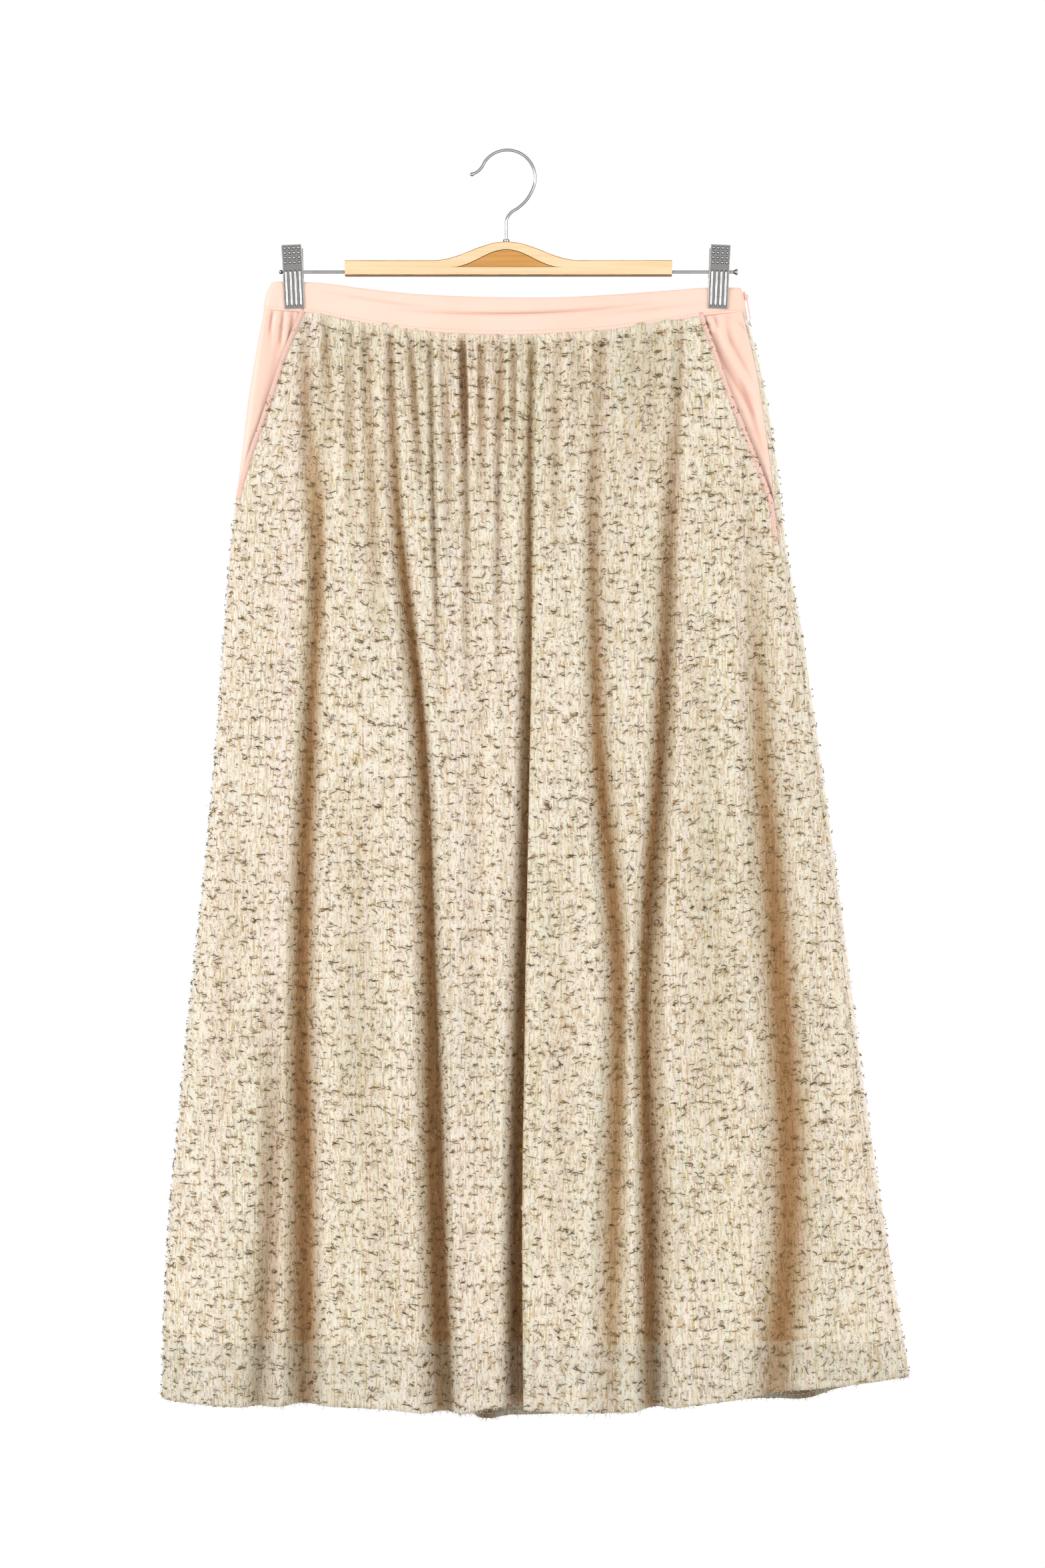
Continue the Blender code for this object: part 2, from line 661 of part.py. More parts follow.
def face_outwards(obj):
    shape = bmesh.new()
    shape.from_mesh(obj.data)
    turn_outwards(shape)
    shape.to_mesh(obj.data)
    shape.free()


def turned(profile, centre, around=16):
    """A solid turned about a line along X, from (x, radius) points. A closed profile that
    stays off the line gives a ring."""
    ring = profile[0] == profile[-1]
    stations = profile[:-1] if ring else profile
    vertices = [
        (x, centre[0] + r * math.cos(a), centre[1] + r * math.sin(a))
        for x, r in stations
        for a in np.arange(around) * 2 * math.pi / around
    ]
    count = len(stations)
    faces = []
    for i in range(count if ring else count - 1):
        for j in range(around):
            a, b = i * around + j, i * around + (j + 1) % around
            c, d = (b + around) % (count * around), (a + around) % (count * around)
            faces.append((a, b, c, d))
    if not ring:
        faces.append(tuple(range(around)))
        faces.append(tuple(range(count * around - 1, (count - 1) * around - 1, -1)))
    return vertices, faces


def cut(obj, cutter, operation="DIFFERENCE"):
    cutter.hide_render = True
    cutter.display_type = "WIRE"
    modifier = obj.modifiers.new(operation.title(), "BOOLEAN")
    modifier.object = cutter
    modifier.operation = operation


def hump(half, base, rise, reach=1.0):
    """The rise in a bar's middle, from left to right. reach below 1 leaves out its ends."""
    steps = np.linspace(-reach, reach, HUMP_STEPS)
    return [(HUMP_CENTRE + half * u, base - rise * math.cos(u * math.pi / 2) ** 2) for u in steps]


def bar(wood, inlay_wood):
    top = [(BAR_LEFT, BAR_TOP), *hump(HUMP_HALF, BAR_TOP, HUMP_HEIGHT), (BAR_RIGHT, BAR_TOP)]
    outline = [*top, (BAR_RIGHT, BAR_BOTTOM), (BAR_LEFT, BAR_BOTTOM)]
    front = -BAR_DEPTH / 2
    wooden = new_object("hanger_bar", *pushed(outline, front, -front, along_y), wood)
    face_outwards(wooden)
    recess = hump(INLAY_HALF, INLAY_BOTTOM, INLAY_HEIGHT)
    pocket = pushed(recess, front - 1, front + INLAY_FLOOR, along_y)
    cutter = new_object("inlay_cutter", *pocket, wood)
    face_outwards(cutter)
    cut(wooden, cutter)
    crest = hump(INLAY_HALF, INLAY_BOTTOM, INLAY_HEIGHT, INLAY_REACH)
    inlay = [(x, drop + SEAM * 1.5) for x, drop in crest]
    low = INLAY_BOTTOM - SEAM
    inlay += [(inlay[-1][0], low), (inlay[0][0], low)]
    near = front + SEAM
    plate = pushed(inlay, near, near + INLAY_DEPTH, along_y)
    face_outwards(new_object("hanger_inlay", *plate, inlay_wood))


def hook(chrome):
    arc = np.radians(np.linspace(*HOOK_ARC, HOOK_ARC_POINTS))
    centre_z = WIRE / 2 - RAIL_RADIUS
    over_x, over_z = HOOK_CENTRE_X + RAIL_RADIUS * np.cos(arc), centre_z + RAIL_RADIUS * np.sin(arc)
    route = np.array([*HOOK_TIP, *zip(over_x, over_z), *HOOK_NECK], float)
    length = np.concatenate([[0], np.cumsum(np.linalg.norm(np.diff(route, axis=0), axis=1))])
    tip = BALL * np.array(BALL_STATIONS)
    from_tip = np.concatenate([tip[:-1], np.linspace(tip[-1], length[-1], HOOK_STEPS)])
    curve = bpy.data.curves.new("hanger_hook", "CURVE")
    curve.dimensions = "3D"
    curve.bevel_depth = WIRE / 2 * MM
    curve.bevel_resolution = 2
    curve.use_fill_caps = True
    spline = curve.splines.new("POLY")
    spline.points.add(len(from_tip) - 1)
    for point, at in zip(spline.points, from_tip):
        x, z = (curve_through(at, length, route[:, k]) for k in (0, 1))
        point.co = (x * MM, 0, z * MM, 1)
        swelling = math.sqrt(max(BALL**2 - (at - BALL) ** 2, 0))
        point.radius = max(swelling, WIRE / 2 if at > BALL else 0.2) / (WIRE / 2)
    curve.materials.append(chrome)
    bpy.context.collection.objects.link(bpy.data.objects.new("hanger_hook", curve))


def collar(chrome):
    radius, height = COLLAR
    turns = np.arange(COLLAR_SIDES) * 2 * math.pi / COLLAR_SIDES
    outline = [(HOOK_STEM_X + radius * math.cos(a), radius * math.sin(a)) for a in turns]
    foot = -(BAR_TOP - HUMP_HEIGHT - SEAM)
    face_outwards(new_object("hook_collar", *pushed(outline, foot, foot + height, along_z), chrome))


def rods(chrome):
    left = [(BAR_LEFT - SEAM, ROD / 2)]
    left += [(ROD_LEFT_END + turn.before_end, turn.radius) for turn in BALL_END]
    right = [(BAR_RIGHT + SEAM, ROD / 2)]
    right += [(ROD_RIGHT_END - turn.before_end, turn.radius) for turn in FLARED_END]
    for name, profile in (("rod_left", left), ("rod_right", right)):
        face_outwards(new_object(name, *turned(profile, (0, -ROD_DROP)), chrome))


def stripes(start, bands, gap, width):
    """Lines where raised stripes begin and end, with a gap on each side."""
    lines = [start]
    for _ in range(bands):
        lines += [lines[-1] + gap, lines[-1] + gap + width]
    return [*lines, lines[-1] + gap]


def jaw(name, centre, lean, side, chrome):
    """One plate of a clip: ridges below, and rows of studs on the grip above."""
    width = RIDGES * RIDGE + (RIDGES + 1) * RIDGE_GAP
    across = stripes(-width / 2, RIDGES, RIDGE_GAP, RIDGE)
    grip = stripes(CLIP_TOP, RIDGES, RIDGE_GAP, RIDGE)
    step_bottom, ridge_top = grip[-1] + CLIP_STEP[0], grip[-1] + CLIP_STEP[1]
    drops = [*grip, step_bottom, ridge_top, CLIP_BOTTOM - CLIP_LIP, CLIP_BOTTOM]
    shape = bmesh.new()
    placed = []
    for drop in drops:
        flare = CLIP_FLARE * max(grip[-1] - drop, 0) / (grip[-1] - CLIP_TOP)
        shift = centre + lean * (drop - CLIP_TOP)
        placed.append([shape.verts.new((x + shift, -CLIP_GAP - flare, -drop)) for x in across])
    raised = []
    for i in range(len(drops) - 1):
        for j in range(len(across) - 1):
            corners = (placed[i][j], placed[i + 1][j], placed[i + 1][j + 1], placed[i][j + 1])
            face = shape.faces.new(corners)
            stud = i % 2 and i < len(grip) - 1
            if j % 2 and (stud or i == len(drops) - 3):
                raised.append(face)
    sheet = list(shape.faces)
    outside = bmesh.ops.extrude_face_region(shape, geom=sheet, use_keep_orig=True)["geom"]
    moved = [item for item in outside if isinstance(item, bmesh.types.BMVert)]
    bmesh.ops.translate(shape, verts=moved, vec=(0, -CLIP_PLATE, 0))
    bmesh.ops.recalc_face_normals(shape, faces=shape.faces)
    middles = [face.calc_center_median() for face in raised]
    tops = []
    for face in shape.faces:
        for middle in middles:
            near = (face.calc_center_median() - middle).length < CLIP_PLATE * 1.2
            if near and face not in raised and face.normal.y < -0.5:
                tops.append(face)
    studs = bmesh.ops.extrude_discrete_faces(shape, faces=tops)["faces"]
    for face in studs:
        middle = face.calc_center_median()
        for vert in face.verts:
            vert.co = middle + (vert.co - middle) * RIDGE_TAPER + face.normal * RIDGE_HEIGHT
    backs = [face for face in shape.faces if face.normal.y > 0.5]
    for flat in (True, False):
        group = [face for face in backs if face.is_valid and (face.normal.y > 0.999) == flat]
        bmesh.ops.dissolve_faces(shape, faces=group)
    if side > 0:
        for vert in shape.verts:
            vert.co.y *= -1
    turn_outwards(shape)
    for vert in shape.verts:
        vert.co *= MM
    mesh = bpy.data.meshes.new(name)
    shape.to_mesh(mesh)
    shape.free()
    mesh.materials.append(chrome)
    bpy.context.collection.objects.link(bpy.data.objects.new(name, mesh))


def clips(chrome):
    for side, centre, lean in (("left", CLIP_LEFT, CLIP_LEAN), ("right", CLIP_RIGHT, -CLIP_LEAN)):
        start = centre - lean * (CLIP_BOTTOM - CLIP_TOP) / 2
        jaw(f"clip_{side}_front", start, lean, -1, chrome)
        jaw(f"clip_{side}_back", start, lean, 1, chrome)
        near, far = centre - SPRING_LENGTH / 2, centre + SPRING_LENGTH / 2
        inner = ROD / 2 + SEAM
        profile = [(near, inner), (far, inner), (far, SPRING_RADIUS), (near, SPRING_RADIUS)]
        profile.append(profile[0])
        ring = new_object(f"clip_{side}_spring", *turned(profile, (0, -ROD_DROP)), chrome)
        face_outwards(ring)


def zip_fastener(pink_metal):
    """The slider on the right side seam, and its pull with the origin on its hinge."""
    x, drop = ZIP_HINGE
    low, high, thick, half = SLIDER
    under = -SLIDER_CLEAR - thick
    bent = np.radians(np.linspace(-90, 90, ARCH_POINTS))
    line = [(ARCH * math.cos(a) - SLIDER_CLEAR, ARCH * math.sin(a)) for a in bent]
    line = [(line[0][0] - thick / 2, line[0][1]), *line, (line[-1][0] - thick / 2, line[-1][1])]
    outline = [(row.half, row.low) for row in PULL] + [(-row.half, row.low) for row in PULL[::-1]]
    side, top, bottom = PULL_WINDOW
    made = {}
    for name, shape in (
        ("zip_slider", block((under, -half, low), (-SLIDER_CLEAR, half, high))),
        ("slider_arch", wire(line, ARCH_WIRE)),
        ("zip_pull", pushed(outline, -PULL_PLATE / 2, PULL_PLATE / 2, along_x)),
        ("pull_window", block((-2 * PULL_PLATE, -side, bottom), (2 * PULL_PLATE, side, top))),
    ):
        made[name] = new_object(name, *shape, pink_metal, (x, 0, -drop))
        face_outwards(made[name])
        made[name].rotation_euler = (0, -math.radians(ZIP_TILT), 0)
    cut(made["zip_slider"], made["slider_arch"], "UNION")
    cut(made["zip_pull"], made["pull_window"])


def main():
    for obj in list(bpy.data.objects):
        bpy.data.objects.remove(obj)
    cloth = new_material("flecked cloth", (0.83, 0.76, 0.62), 0.8)
    satin = new_material("pink satin", (0.94, 0.7, 0.6), 0.5)
    twill = new_material("pink twill binding", (0.9, 0.6, 0.53), 0.5)
    voile = new_material("tan lining", (0.75, 0.6, 0.45), 0.6)
    wood = new_material("pale wood", (0.85, 0.64, 0.36), 0.45)
    inlay_wood = new_material("caramel wood", (0.72, 0.44, 0.18), 0.45)
    chrome = new_material("chrome", (0.75, 0.75, 0.76), 0.2, 1.0)
    pink_metal = new_material("pink zip lacquer", (0.93, 0.62, 0.56), 0.35)
    panels(cloth)
    hips(satin, twill)
    lining(voile)
    waistband(satin)
    bar(wood, inlay_wood)
    collar(chrome)
    hook(chrome)
    rods(chrome)
    clips(chrome)
    zip_fastener(pink_metal)


main()
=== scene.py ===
"""Finishes of a gathered, lined skirt that hangs by two clips from a wooden hanger.

The cloth pieces are fine shells on the solids' own form, worked out from the same tables.
Sizes and tables are in millimetres, and become metres where a mesh is made. "drop" is a
distance below the rail, "across" runs from -1 at the left outline to 1 at the right one,
"round" goes on from there over the back, and "down" is 0 at the band and 1 at the hem.
"""

import math
from collections import namedtuple

import bpy
import numpy as np
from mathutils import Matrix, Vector


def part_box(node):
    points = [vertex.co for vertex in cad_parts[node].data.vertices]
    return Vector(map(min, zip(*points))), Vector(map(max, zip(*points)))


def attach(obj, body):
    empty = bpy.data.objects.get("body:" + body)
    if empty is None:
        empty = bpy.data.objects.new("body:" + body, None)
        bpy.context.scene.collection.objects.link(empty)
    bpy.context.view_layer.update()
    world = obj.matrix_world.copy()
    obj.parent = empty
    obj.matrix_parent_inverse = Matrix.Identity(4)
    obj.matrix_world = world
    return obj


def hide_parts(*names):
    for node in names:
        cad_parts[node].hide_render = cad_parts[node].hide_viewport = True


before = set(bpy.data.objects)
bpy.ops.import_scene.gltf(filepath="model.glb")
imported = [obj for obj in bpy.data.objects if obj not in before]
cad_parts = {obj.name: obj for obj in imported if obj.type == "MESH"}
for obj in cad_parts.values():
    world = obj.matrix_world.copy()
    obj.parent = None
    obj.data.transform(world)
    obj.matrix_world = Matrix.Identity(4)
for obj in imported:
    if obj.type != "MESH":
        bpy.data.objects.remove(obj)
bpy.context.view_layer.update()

bl_info = {
    "name": "Gathered Skirt Finish",
    "version": (1, 0, 0),
    "blender": (4, 5, 0),
    "location": "View3D > Sidebar > Skirt",
    "description": "Cloth, trims, hanger and studio of a gathered skirt on a clip hanger",
    "category": "Object",
}

MM = 0.001
BODY = "skirt"

# Sizes that the solids share

SEAM = 0.3
CLOTH = 1.0
BAND = 2.6
HEM_ALLOWANCE = 15.0
PANEL_LENGTH = 880.0
POCKET_TUCK = 12.0
POCKET_SINK = CLOTH + 0.35
SINK_GROWTH = 9.0
BINDING_WIDTH = 4.2
LINING_INSET = 7.0
LINING_DROP = 978.0
LINING_TUCK = 8.0
LINING_SHARE = (0.38, 0.25)
LINING_FROM_BAND = 2.7
LINING_LEAVES_BAND = 25.0
BACK_TURN = 0.05
POCKET_ENDS = {"left": 0.18, "right": 0.22}
BAND_REACH = 14.0
PINCH = 4.0
HEM_REACH = 46.0
HEM_ROUND = 18.0
WAIST_DROP = 145.0
HEM_DROP = 1030.0
CLIP_LEFT, CLIP_RIGHT = -174.0, 177.0

BandRow = namedtuple("BandRow", "down out")
BAND_CREASE = (BandRow(0, -1.4), BandRow(0.42, 0.5), BandRow(0.55, 0.4), BandRow(1, 0))

Level = namedtuple("Level", "drop left right")
OUTLINE = (
    Level(106, -191, 194),
    Level(119, -197, 198),
    Level(133, -199, 200),
    Level(160, -204, 207),
    Level(195, -210, 215),
    Level(260, -218, 226),
    Level(325, -226, 233),
    Level(395, -231, 246),
    Level(490, -238, 260),
    Level(590, -247, 274),
    Level(690, -258, 287),
    Level(790, -268, 300),
    Level(890, -277, 315),
    Level(970, -281, 328),
    Level(1040, -283, 340),
)

Edge = namedtuple("Edge", "across band_top band_bottom front_hem back_hem")
EDGES = (
    Edge(-1.00, 108.0, 131.0, 1027, 1027),
    Edge(-0.80, 109.0, 134.0, 1031, 1030),
    Edge(-0.60, 114.0, 141.8, 1029, 1034),
    Edge(-0.40, 118.5, 148.5, 1031, 1040),
    Edge(-0.25, 120.5, 151.5, 1035, 1046),
    Edge(-0.10, 121.7, 153.0, 1029, 1050),
    Edge(0.05, 122.2, 153.3, 1033, 1049),
    Edge(0.20, 122.0, 152.0, 1034, 1043),
    Edge(0.40, 120.0, 149.0, 1028, 1038),
    Edge(0.60, 117.0, 143.2, 1021, 1035),
    Edge(0.70, 115.3, 140.0, 1017, 1033),
    Edge(0.85, 113.0, 135.5, 1013, 1022),
    Edge(1.00, 113.0, 133.0, 1008, 1008),
)

FOLD_DROPS = (160, 300, 480, 700, 860, 1030)
Fold = namedtuple("Fold", "name x depth left right")
FRONT_FOLDS = (
    Fold("side_left", (-190, -190, -190, -188, -191, -201), (0, 0, 0, 2, 9, 12), 14, 12),
    Fold("hip_left", (-149, -152, -161, -168, -166, -166), (1, 4, 11, 17, 20, 22), 16, 26),
    Fold("left", (-93, -86, -66, -57, -53, -46), (4, 8, 16, 24, 28, 30), 24, 9),
    Fold("gather_a", (-62, -58, -54, -50, -46, -40), (4, 5, 0, 0, 0, 0), 9, 9),
    Fold("gather_b", (-35, -31, -31, -31, -31, -31), (4, 4, 0, 0, 0, 0), 9, 9),
    Fold("gather_c", (-6, -5, -5, -5, -5, -5), (4, 4, 0, 0, 0, 0), 9, 9),
    Fold("centre", (23, 22, 21, 18, 15, 15), (5, 9, 16, 24, 28, 30), 22, 9),
    Fold("right", (78, 74, 77, 94, 90, 87), (3, 6, 10, 13, 10, 6), 24, 24),
    Fold("gather_d", (107, 106, 106, 106, 106, 106), (4, 1, 0, 0, 0, 0), 9, 9),
    Fold("hip_right", (146, 138, 131, 118, 122, 124), (3, 7, 15, 22, 24, 26), 22, 9),
    Fold("side_right", (200, 205, 212, 228, 234, 222), (0, 1, 7, 13, 12, 14), 34, 30),
)
BACK_FOLDS = (
    Fold("side_left", (-196, -200, -208, -216, -224, -232), (0, 1, 5, 9, 12, 14), 22, 18),
    Fold("hip_left", (-140, -142, -146, -148, -152, -158), (2, 6, 13, 19, 22, 24), 12, 24),
    Fold("left", (-84, -80, -78, -84, -86, -88), (4, 8, 14, 18, 22, 24), 22, 12),
    Fold("centre", (-22, -20, -16, -12, -14, -18), (4, 8, 16, 22, 26, 28), 10, 24),
    Fold("right", (40, 46, 54, 60, 66, 74), (4, 7, 12, 16, 18, 16), 20, 20),
    Fold("hip_right", (104, 110, 124, 138, 148, 156), (4, 8, 15, 21, 24, 26), 26, 12),
    Fold("side_right", (180, 190, 206, 222, 236, 250), (0, 1, 6, 10, 12, 14), 26, 24),
)
FOLD_WIDTH_AT_WAIST = 0.45
FOLD_MOST = (0.5, 0.64)
FOLD_ONSET = GATHER_ONSET = 15.0
CROWDING = 12.0  # depth of a fold that doubles the columns there

Anchor = namedtuple("Anchor", "slot fold")
FRONT_SLOTS, BACK_SLOTS = 37, 20
FRONT_ANCHORS = (
    Anchor(4, "hip_left"),
    Anchor(9, "left"),
    Anchor(23, "centre"),
    Anchor(28, "right"),
    Anchor(31, "hip_right"),
)
BACK_ANCHORS = (
    Anchor(4, "hip_left"),
    Anchor(7, "left"),
    Anchor(10, "centre"),
    Anchor(13, "right"),
    Anchor(16, "hip_right"),
)
GATHERED_SLOTS = {"front": (3, 31), "back": (1, 19)}
GATHER_DEPTH = 3.2
GATHER_SHORT, GATHER_LONG = 70.0, 190.0
GATHER_AT_SEAM = 0.25
EVEN_UNTIL = 0.45
RIM = (0.0, 1.0, 3.0, 7.0)  # how far from a side edge its closer places lie

Point = namedtuple("Point", "drop x")
POCKET_LEFT = (
    Point(131, -168),
    Point(165, -182),
    Point(192, -191),
    Point(222, -201),
    Point(250, -211),
    Point(270, -217),
    Point(286, -222),
)
POCKET_RIGHT = (
    Point(134, 164),
    Point(165, 175),
    Point(197, 186),
    Point(232, 200),
    Point(260, 211),
    Point(285, 220),
    Point(318, 231),
)
SeamInset = namedtuple("SeamInset", "drop inset")
SEAM_RIGHT = (SeamInset(133, 3), SeamInset(190, 4), SeamInset(230, 5.5), SeamInset(420, 5.5))

# Finer form, which only the shells have

# A soft trough or ridge: where it starts and ends, how wide and deep it is
Crease = namedtuple("Crease", "x_top drop_top x_low drop_low width depth")
FRONT_CREASES = (
    Crease(-166, 146, -153, 400, 6, 3.8),
    Crease(-147, 150, -140, 250, 3.5, 1.8),
    Crease(-130, 150, -124, 330, 5, 2.4),
    Crease(-113, 152, -104, 420, 5, 3.2),
    Crease(-78, 154, -66, 300, 3.5, 3.0),
    Crease(-48, 154, -45, 330, 4, 3.0),
    Crease(-34, 154, -32, 250, 3, 2.6),
    Crease(-20, 154, -18, 300, 3.5, 2.8),
    Crease(-2, 154, -2, 250, 3, 2.4),
    Crease(8, 154, 8, 290, 3, 2.6),
    Crease(41, 153, 43, 340, 4, 2.4),
    Crease(62, 152, 60, 280, 4, 2.0),
    Crease(92, 150, 96, 420, 8, 2.4),
    Crease(126, 148, 122, 300, 6, 1.6),
    Crease(-20, 420, -24, 820, 9, 2.4),
    Crease(45, 640, 52, 1000, 12, 2.6),
    Crease(-120, 560, -112, 980, 14, 3.2),
    Crease(-222, 520, -232, 940, 16, 3.0),
    Crease(168, 420, 178, 900, 18, 3.4),
    Crease(256, 640, 276, 1000, 16, 3.0),
    Crease(-98, 780, -90, 1030, 9, 2.6),
    Crease(140, 760, 152, 1020, 10, 2.4),
)
BACK_CREASES = (
    Crease(-160, 148, -166, 340, 8, 2.2),
    Crease(-112, 150, -110, 420, 6, 2.4),
    Crease(-52, 154, -48, 320, 6, 2.2),
    Crease(12, 154, 16, 400, 7, 2.4),
    Crease(72, 152, 80, 330, 6, 2.2),
    Crease(140, 148, 158, 430, 8, 2.4),
    Crease(-118, 560, -122, 980, 14, 3.2),
    Crease(-50, 620, -50, 1010, 12, 2.8),
    Crease(28, 520, 30, 900, 10, 2.6),
    Crease(112, 600, 120, 1000, 14, 3.0),
    Crease(196, 560, 214, 1000, 14, 2.8),
)
# A main fold's right ridge hangs over its trough by this much at the hem, or lies back
Overhang = namedtuple("Overhang", "fold most width")
FRONT_OVERHANGS = (
    Overhang("left", -3.5, 26.0),
    Overhang("centre", 6.5, 22.0),
    Overhang("hip_right", -4.5, 28.0),
)
RIPPLE = 0.35  # height of the cloth's fine unevenness


def column(table, name):
    return np.array([getattr(row, name) for row in table], float)


def curve_through(at, places, values):
    """A smooth curve through a short table, read at any place."""
    places, values = np.asarray(places, float), np.asarray(values, float)
    slopes = np.gradient(values, places)
    at = np.clip(at, places[0], places[-1])
    i = np.clip(np.searchsorted(places, at) - 1, 0, len(places) - 2)
    width = places[i + 1] - places[i]
    u = (at - places[i]) / width
    start = values[i] * (1 + 2 * u) + slopes[i] * width * u
    end = values[i + 1] * (3 - 2 * u) + slopes[i + 1] * width * (u - 1)
    return start * (1 - u) ** 2 + end * u**2


def read(table, key, value, at):
    return curve_through(at, column(table, key), column(table, value))


def ease(u):
    u = np.clip(u, 0, 1)
    return u * u * (3 - 2 * u)


def mix(a, b, share):
    return a + (b - a) * share


def fraction(index, step):
    """A number from 0 to 1 that jumps about with the index, the same on each run."""
    return (index * step) % 1


# The skirt's form


def sides(drop, inset):
    """Middle and half width of the tube at a drop."""
    left = read(OUTLINE, "drop", "left", drop) + inset
    right = read(OUTLINE, "drop", "right", drop) - inset
    return (left + right) / 2, (right - left) / 2


def half_at(down):
    """Half width of the tube at a level."""
    return sides(mix(WAIST_DROP, HEM_DROP, down), 0)[1]


def way_down(drop):
    """0 at the waist and 1 at the hem."""
    return np.clip((drop - WAIST_DROP) / (HEM_DROP - WAIST_DROP), 0, 1)


def rounded(edge, radius):
    """Share of the full depth at a distance from the tube's outline."""
    return np.sqrt(1 - (1 - np.clip(edge / radius, 0, 1)) ** 2)


def base_reach(x, across, drop):
    """Half depth of the tube without its folds and its rounded ends."""
    down = way_down(drop)
    between = np.clip((x - CLIP_LEFT) / (CLIP_RIGHT - CLIP_LEFT), 0, 1)
    crown_at_band = np.sin(math.pi * between) ** 2
    crown_at_hem = (1 - np.abs(across) ** 2.2) ** 0.8
    crown = mix(crown_at_band, crown_at_hem, ease(down * 3.5))
    low = PINCH + (HEM_ROUND - PINCH) * down**0.9
    high = BAND_REACH + (HEM_REACH - BAND_REACH) * down**0.8
    return low, low + (high - low) * crown, down


def fold_at(fold, drop):
    """Place and depth of a fold's trough at a drop."""
    x, depth = (curve_through(drop, FOLD_DROPS, row) for row in (fold.x, fold.depth))
    return x, np.maximum(depth, 0)


def fold_depth(folds, x, drop):
    """How deep the folds are together."""
    widening = mix(FOLD_WIDTH_AT_WAIST, 1, way_down(drop))
    total = np.zeros_like(x)
    for fold in folds:
        trough, depth = fold_at(fold, drop)
        off = x - trough
        width = np.where(off < 0, fold.left, fold.right) * widening
        total += depth * np.cos(np.clip(off / width, -1, 1) * math.pi / 2) ** 2
    return total


def tube(round_, drop, inset, below, swell=0.0):
    """Points of the tube. below is the distance from the band, where its folds begin."""
    front = round_ <= 1
    across = np.where(front, round_, 2 - round_)
    middle, half = sides(drop, inset)
    x = middle + half * across
    low, reach, down = base_reach(x, across, drop)
    troughs = np.where(
        front, fold_depth(FRONT_FOLDS, x, drop), fold_depth(BACK_FOLDS, x, drop)
    )
    most = reach * mix(*FOLD_MOST, down)
    reach = reach - most * np.tanh(troughs / most) * ease(below / FOLD_ONSET)
    y = (reach + swell) * rounded(half * (1 - np.abs(across)), low)
    return np.stack([x, np.where(front, -y, y), -drop], axis=-1)


def end_radius(drop):
    """Radius of the tube's rounded ends."""
    return base_reach(np.float64(0), np.float64(0), drop)[0]


def end_gap(drop):
    """How far before a side outline a piece stops, as a share of the half width."""
    return (SEAM / 2) ** 2 / (2 * end_radius(drop)) / sides(drop, 0)[1]


def below_band(across, drop):
    return drop - read(EDGES, "across", "band_bottom", across)


def panel_drop(across, down, hem="front_hem"):
    """Drop of a panel's level, which runs from the band to the hem."""
    top = read(EDGES, "across", "band_bottom", across) + SEAM
    return mix(top, read(EDGES, "across", hem, across), down)


def seam_across(down, outer):
    """Across of a side seam. outer is -1 for the left one and 1 for the right one."""
    drop = panel_drop(outer, down)
    half = sides(drop, CLOTH / 2)[1]
    if outer < 0:
        return -1 + end_gap(drop)
    inset = read(SEAM_RIGHT, "drop", "inset", drop)
    return 1 - (inset + SEAM / 2) / half


def pocket_edge(down, pocket, outer):
    """Across of a pocket's edge, or of the side seam below the pocket."""
    across = 0.85 * outer
    for _ in range(6):  # each round comes closer, as the drop of a level changes across
        drop = panel_drop(across, down)
        middle, half = sides(drop, CLOTH / 2)
        seam = seam_across(down, outer)
        if drop > pocket[-1].drop:
            return seam
        across = (read(pocket, "drop", "x", drop) - middle) / half
        across = outer * min(outer * across, outer * seam)
    return across


def crowded(share, low, high, down, folds):
    """Even places between low and high, closer together near the folds."""
    drop = mix(WAIST_DROP, HEM_DROP, down)
    middle, half = sides(drop, 0)
    fine = np.linspace(low, high, 800)
    weight = np.ones_like(fine)
    for fold in folds:
        trough, depth = fold_at(fold, drop)
        off = (middle + half * fine - trough) / (fold.left + fold.right)
        weight += depth / CROWDING * np.exp(-((off * 2) ** 2))
    running = np.concatenate([[0], np.cumsum((weight[1:] + weight[:-1]) / 2)])
    return np.interp(share * running[-1], running, fine)


def places(slot, slots, low, high, down, anchors, folds):
    """Across for these slots of a panel: the anchors keep to their folds."""
    drop = mix(WAIST_DROP, HEM_DROP, down)
    middle, half = sides(drop, 0)
    trough = {fold.name: fold_at(fold, drop)[0] for fold in folds}
    marks = [(1, low), *((a.slot, (trough[a.fold] - middle) / half) for a in anchors)]
    marks.append((slots - 1, high))
    across = np.zeros_like(slot)
    for (first, start), (last, end) in zip(marks, marks[1:]):
        here = (slot >= first) & (slot <= last)
        inside = (slot[here] - first) / (last - first)
        spread = crowded(inside, start, end, down, folds)
        across[here] = mix(mix(start, end, inside), spread, ease(down / EVEN_UNTIL))
    return across


def gathers(slot, gathered, below):
    """How far the small gathers stand out, at a distance below the band."""
    index = np.floor(slot)
    depth = GATHER_DEPTH * mix(0.5, 1, fraction(index, 0.618))
    depth = np.where((index < gathered[0]) | (index >= gathered[1]), 0, depth)
    length = mix(GATHER_SHORT, GATHER_LONG, fraction(index, 0.382))
    onset = mix(GATHER_AT_SEAM, 1, ease(below / GATHER_ONSET))
    return depth * onset * np.sin(math.pi * slot) ** 2 * (1 - ease(below / length))


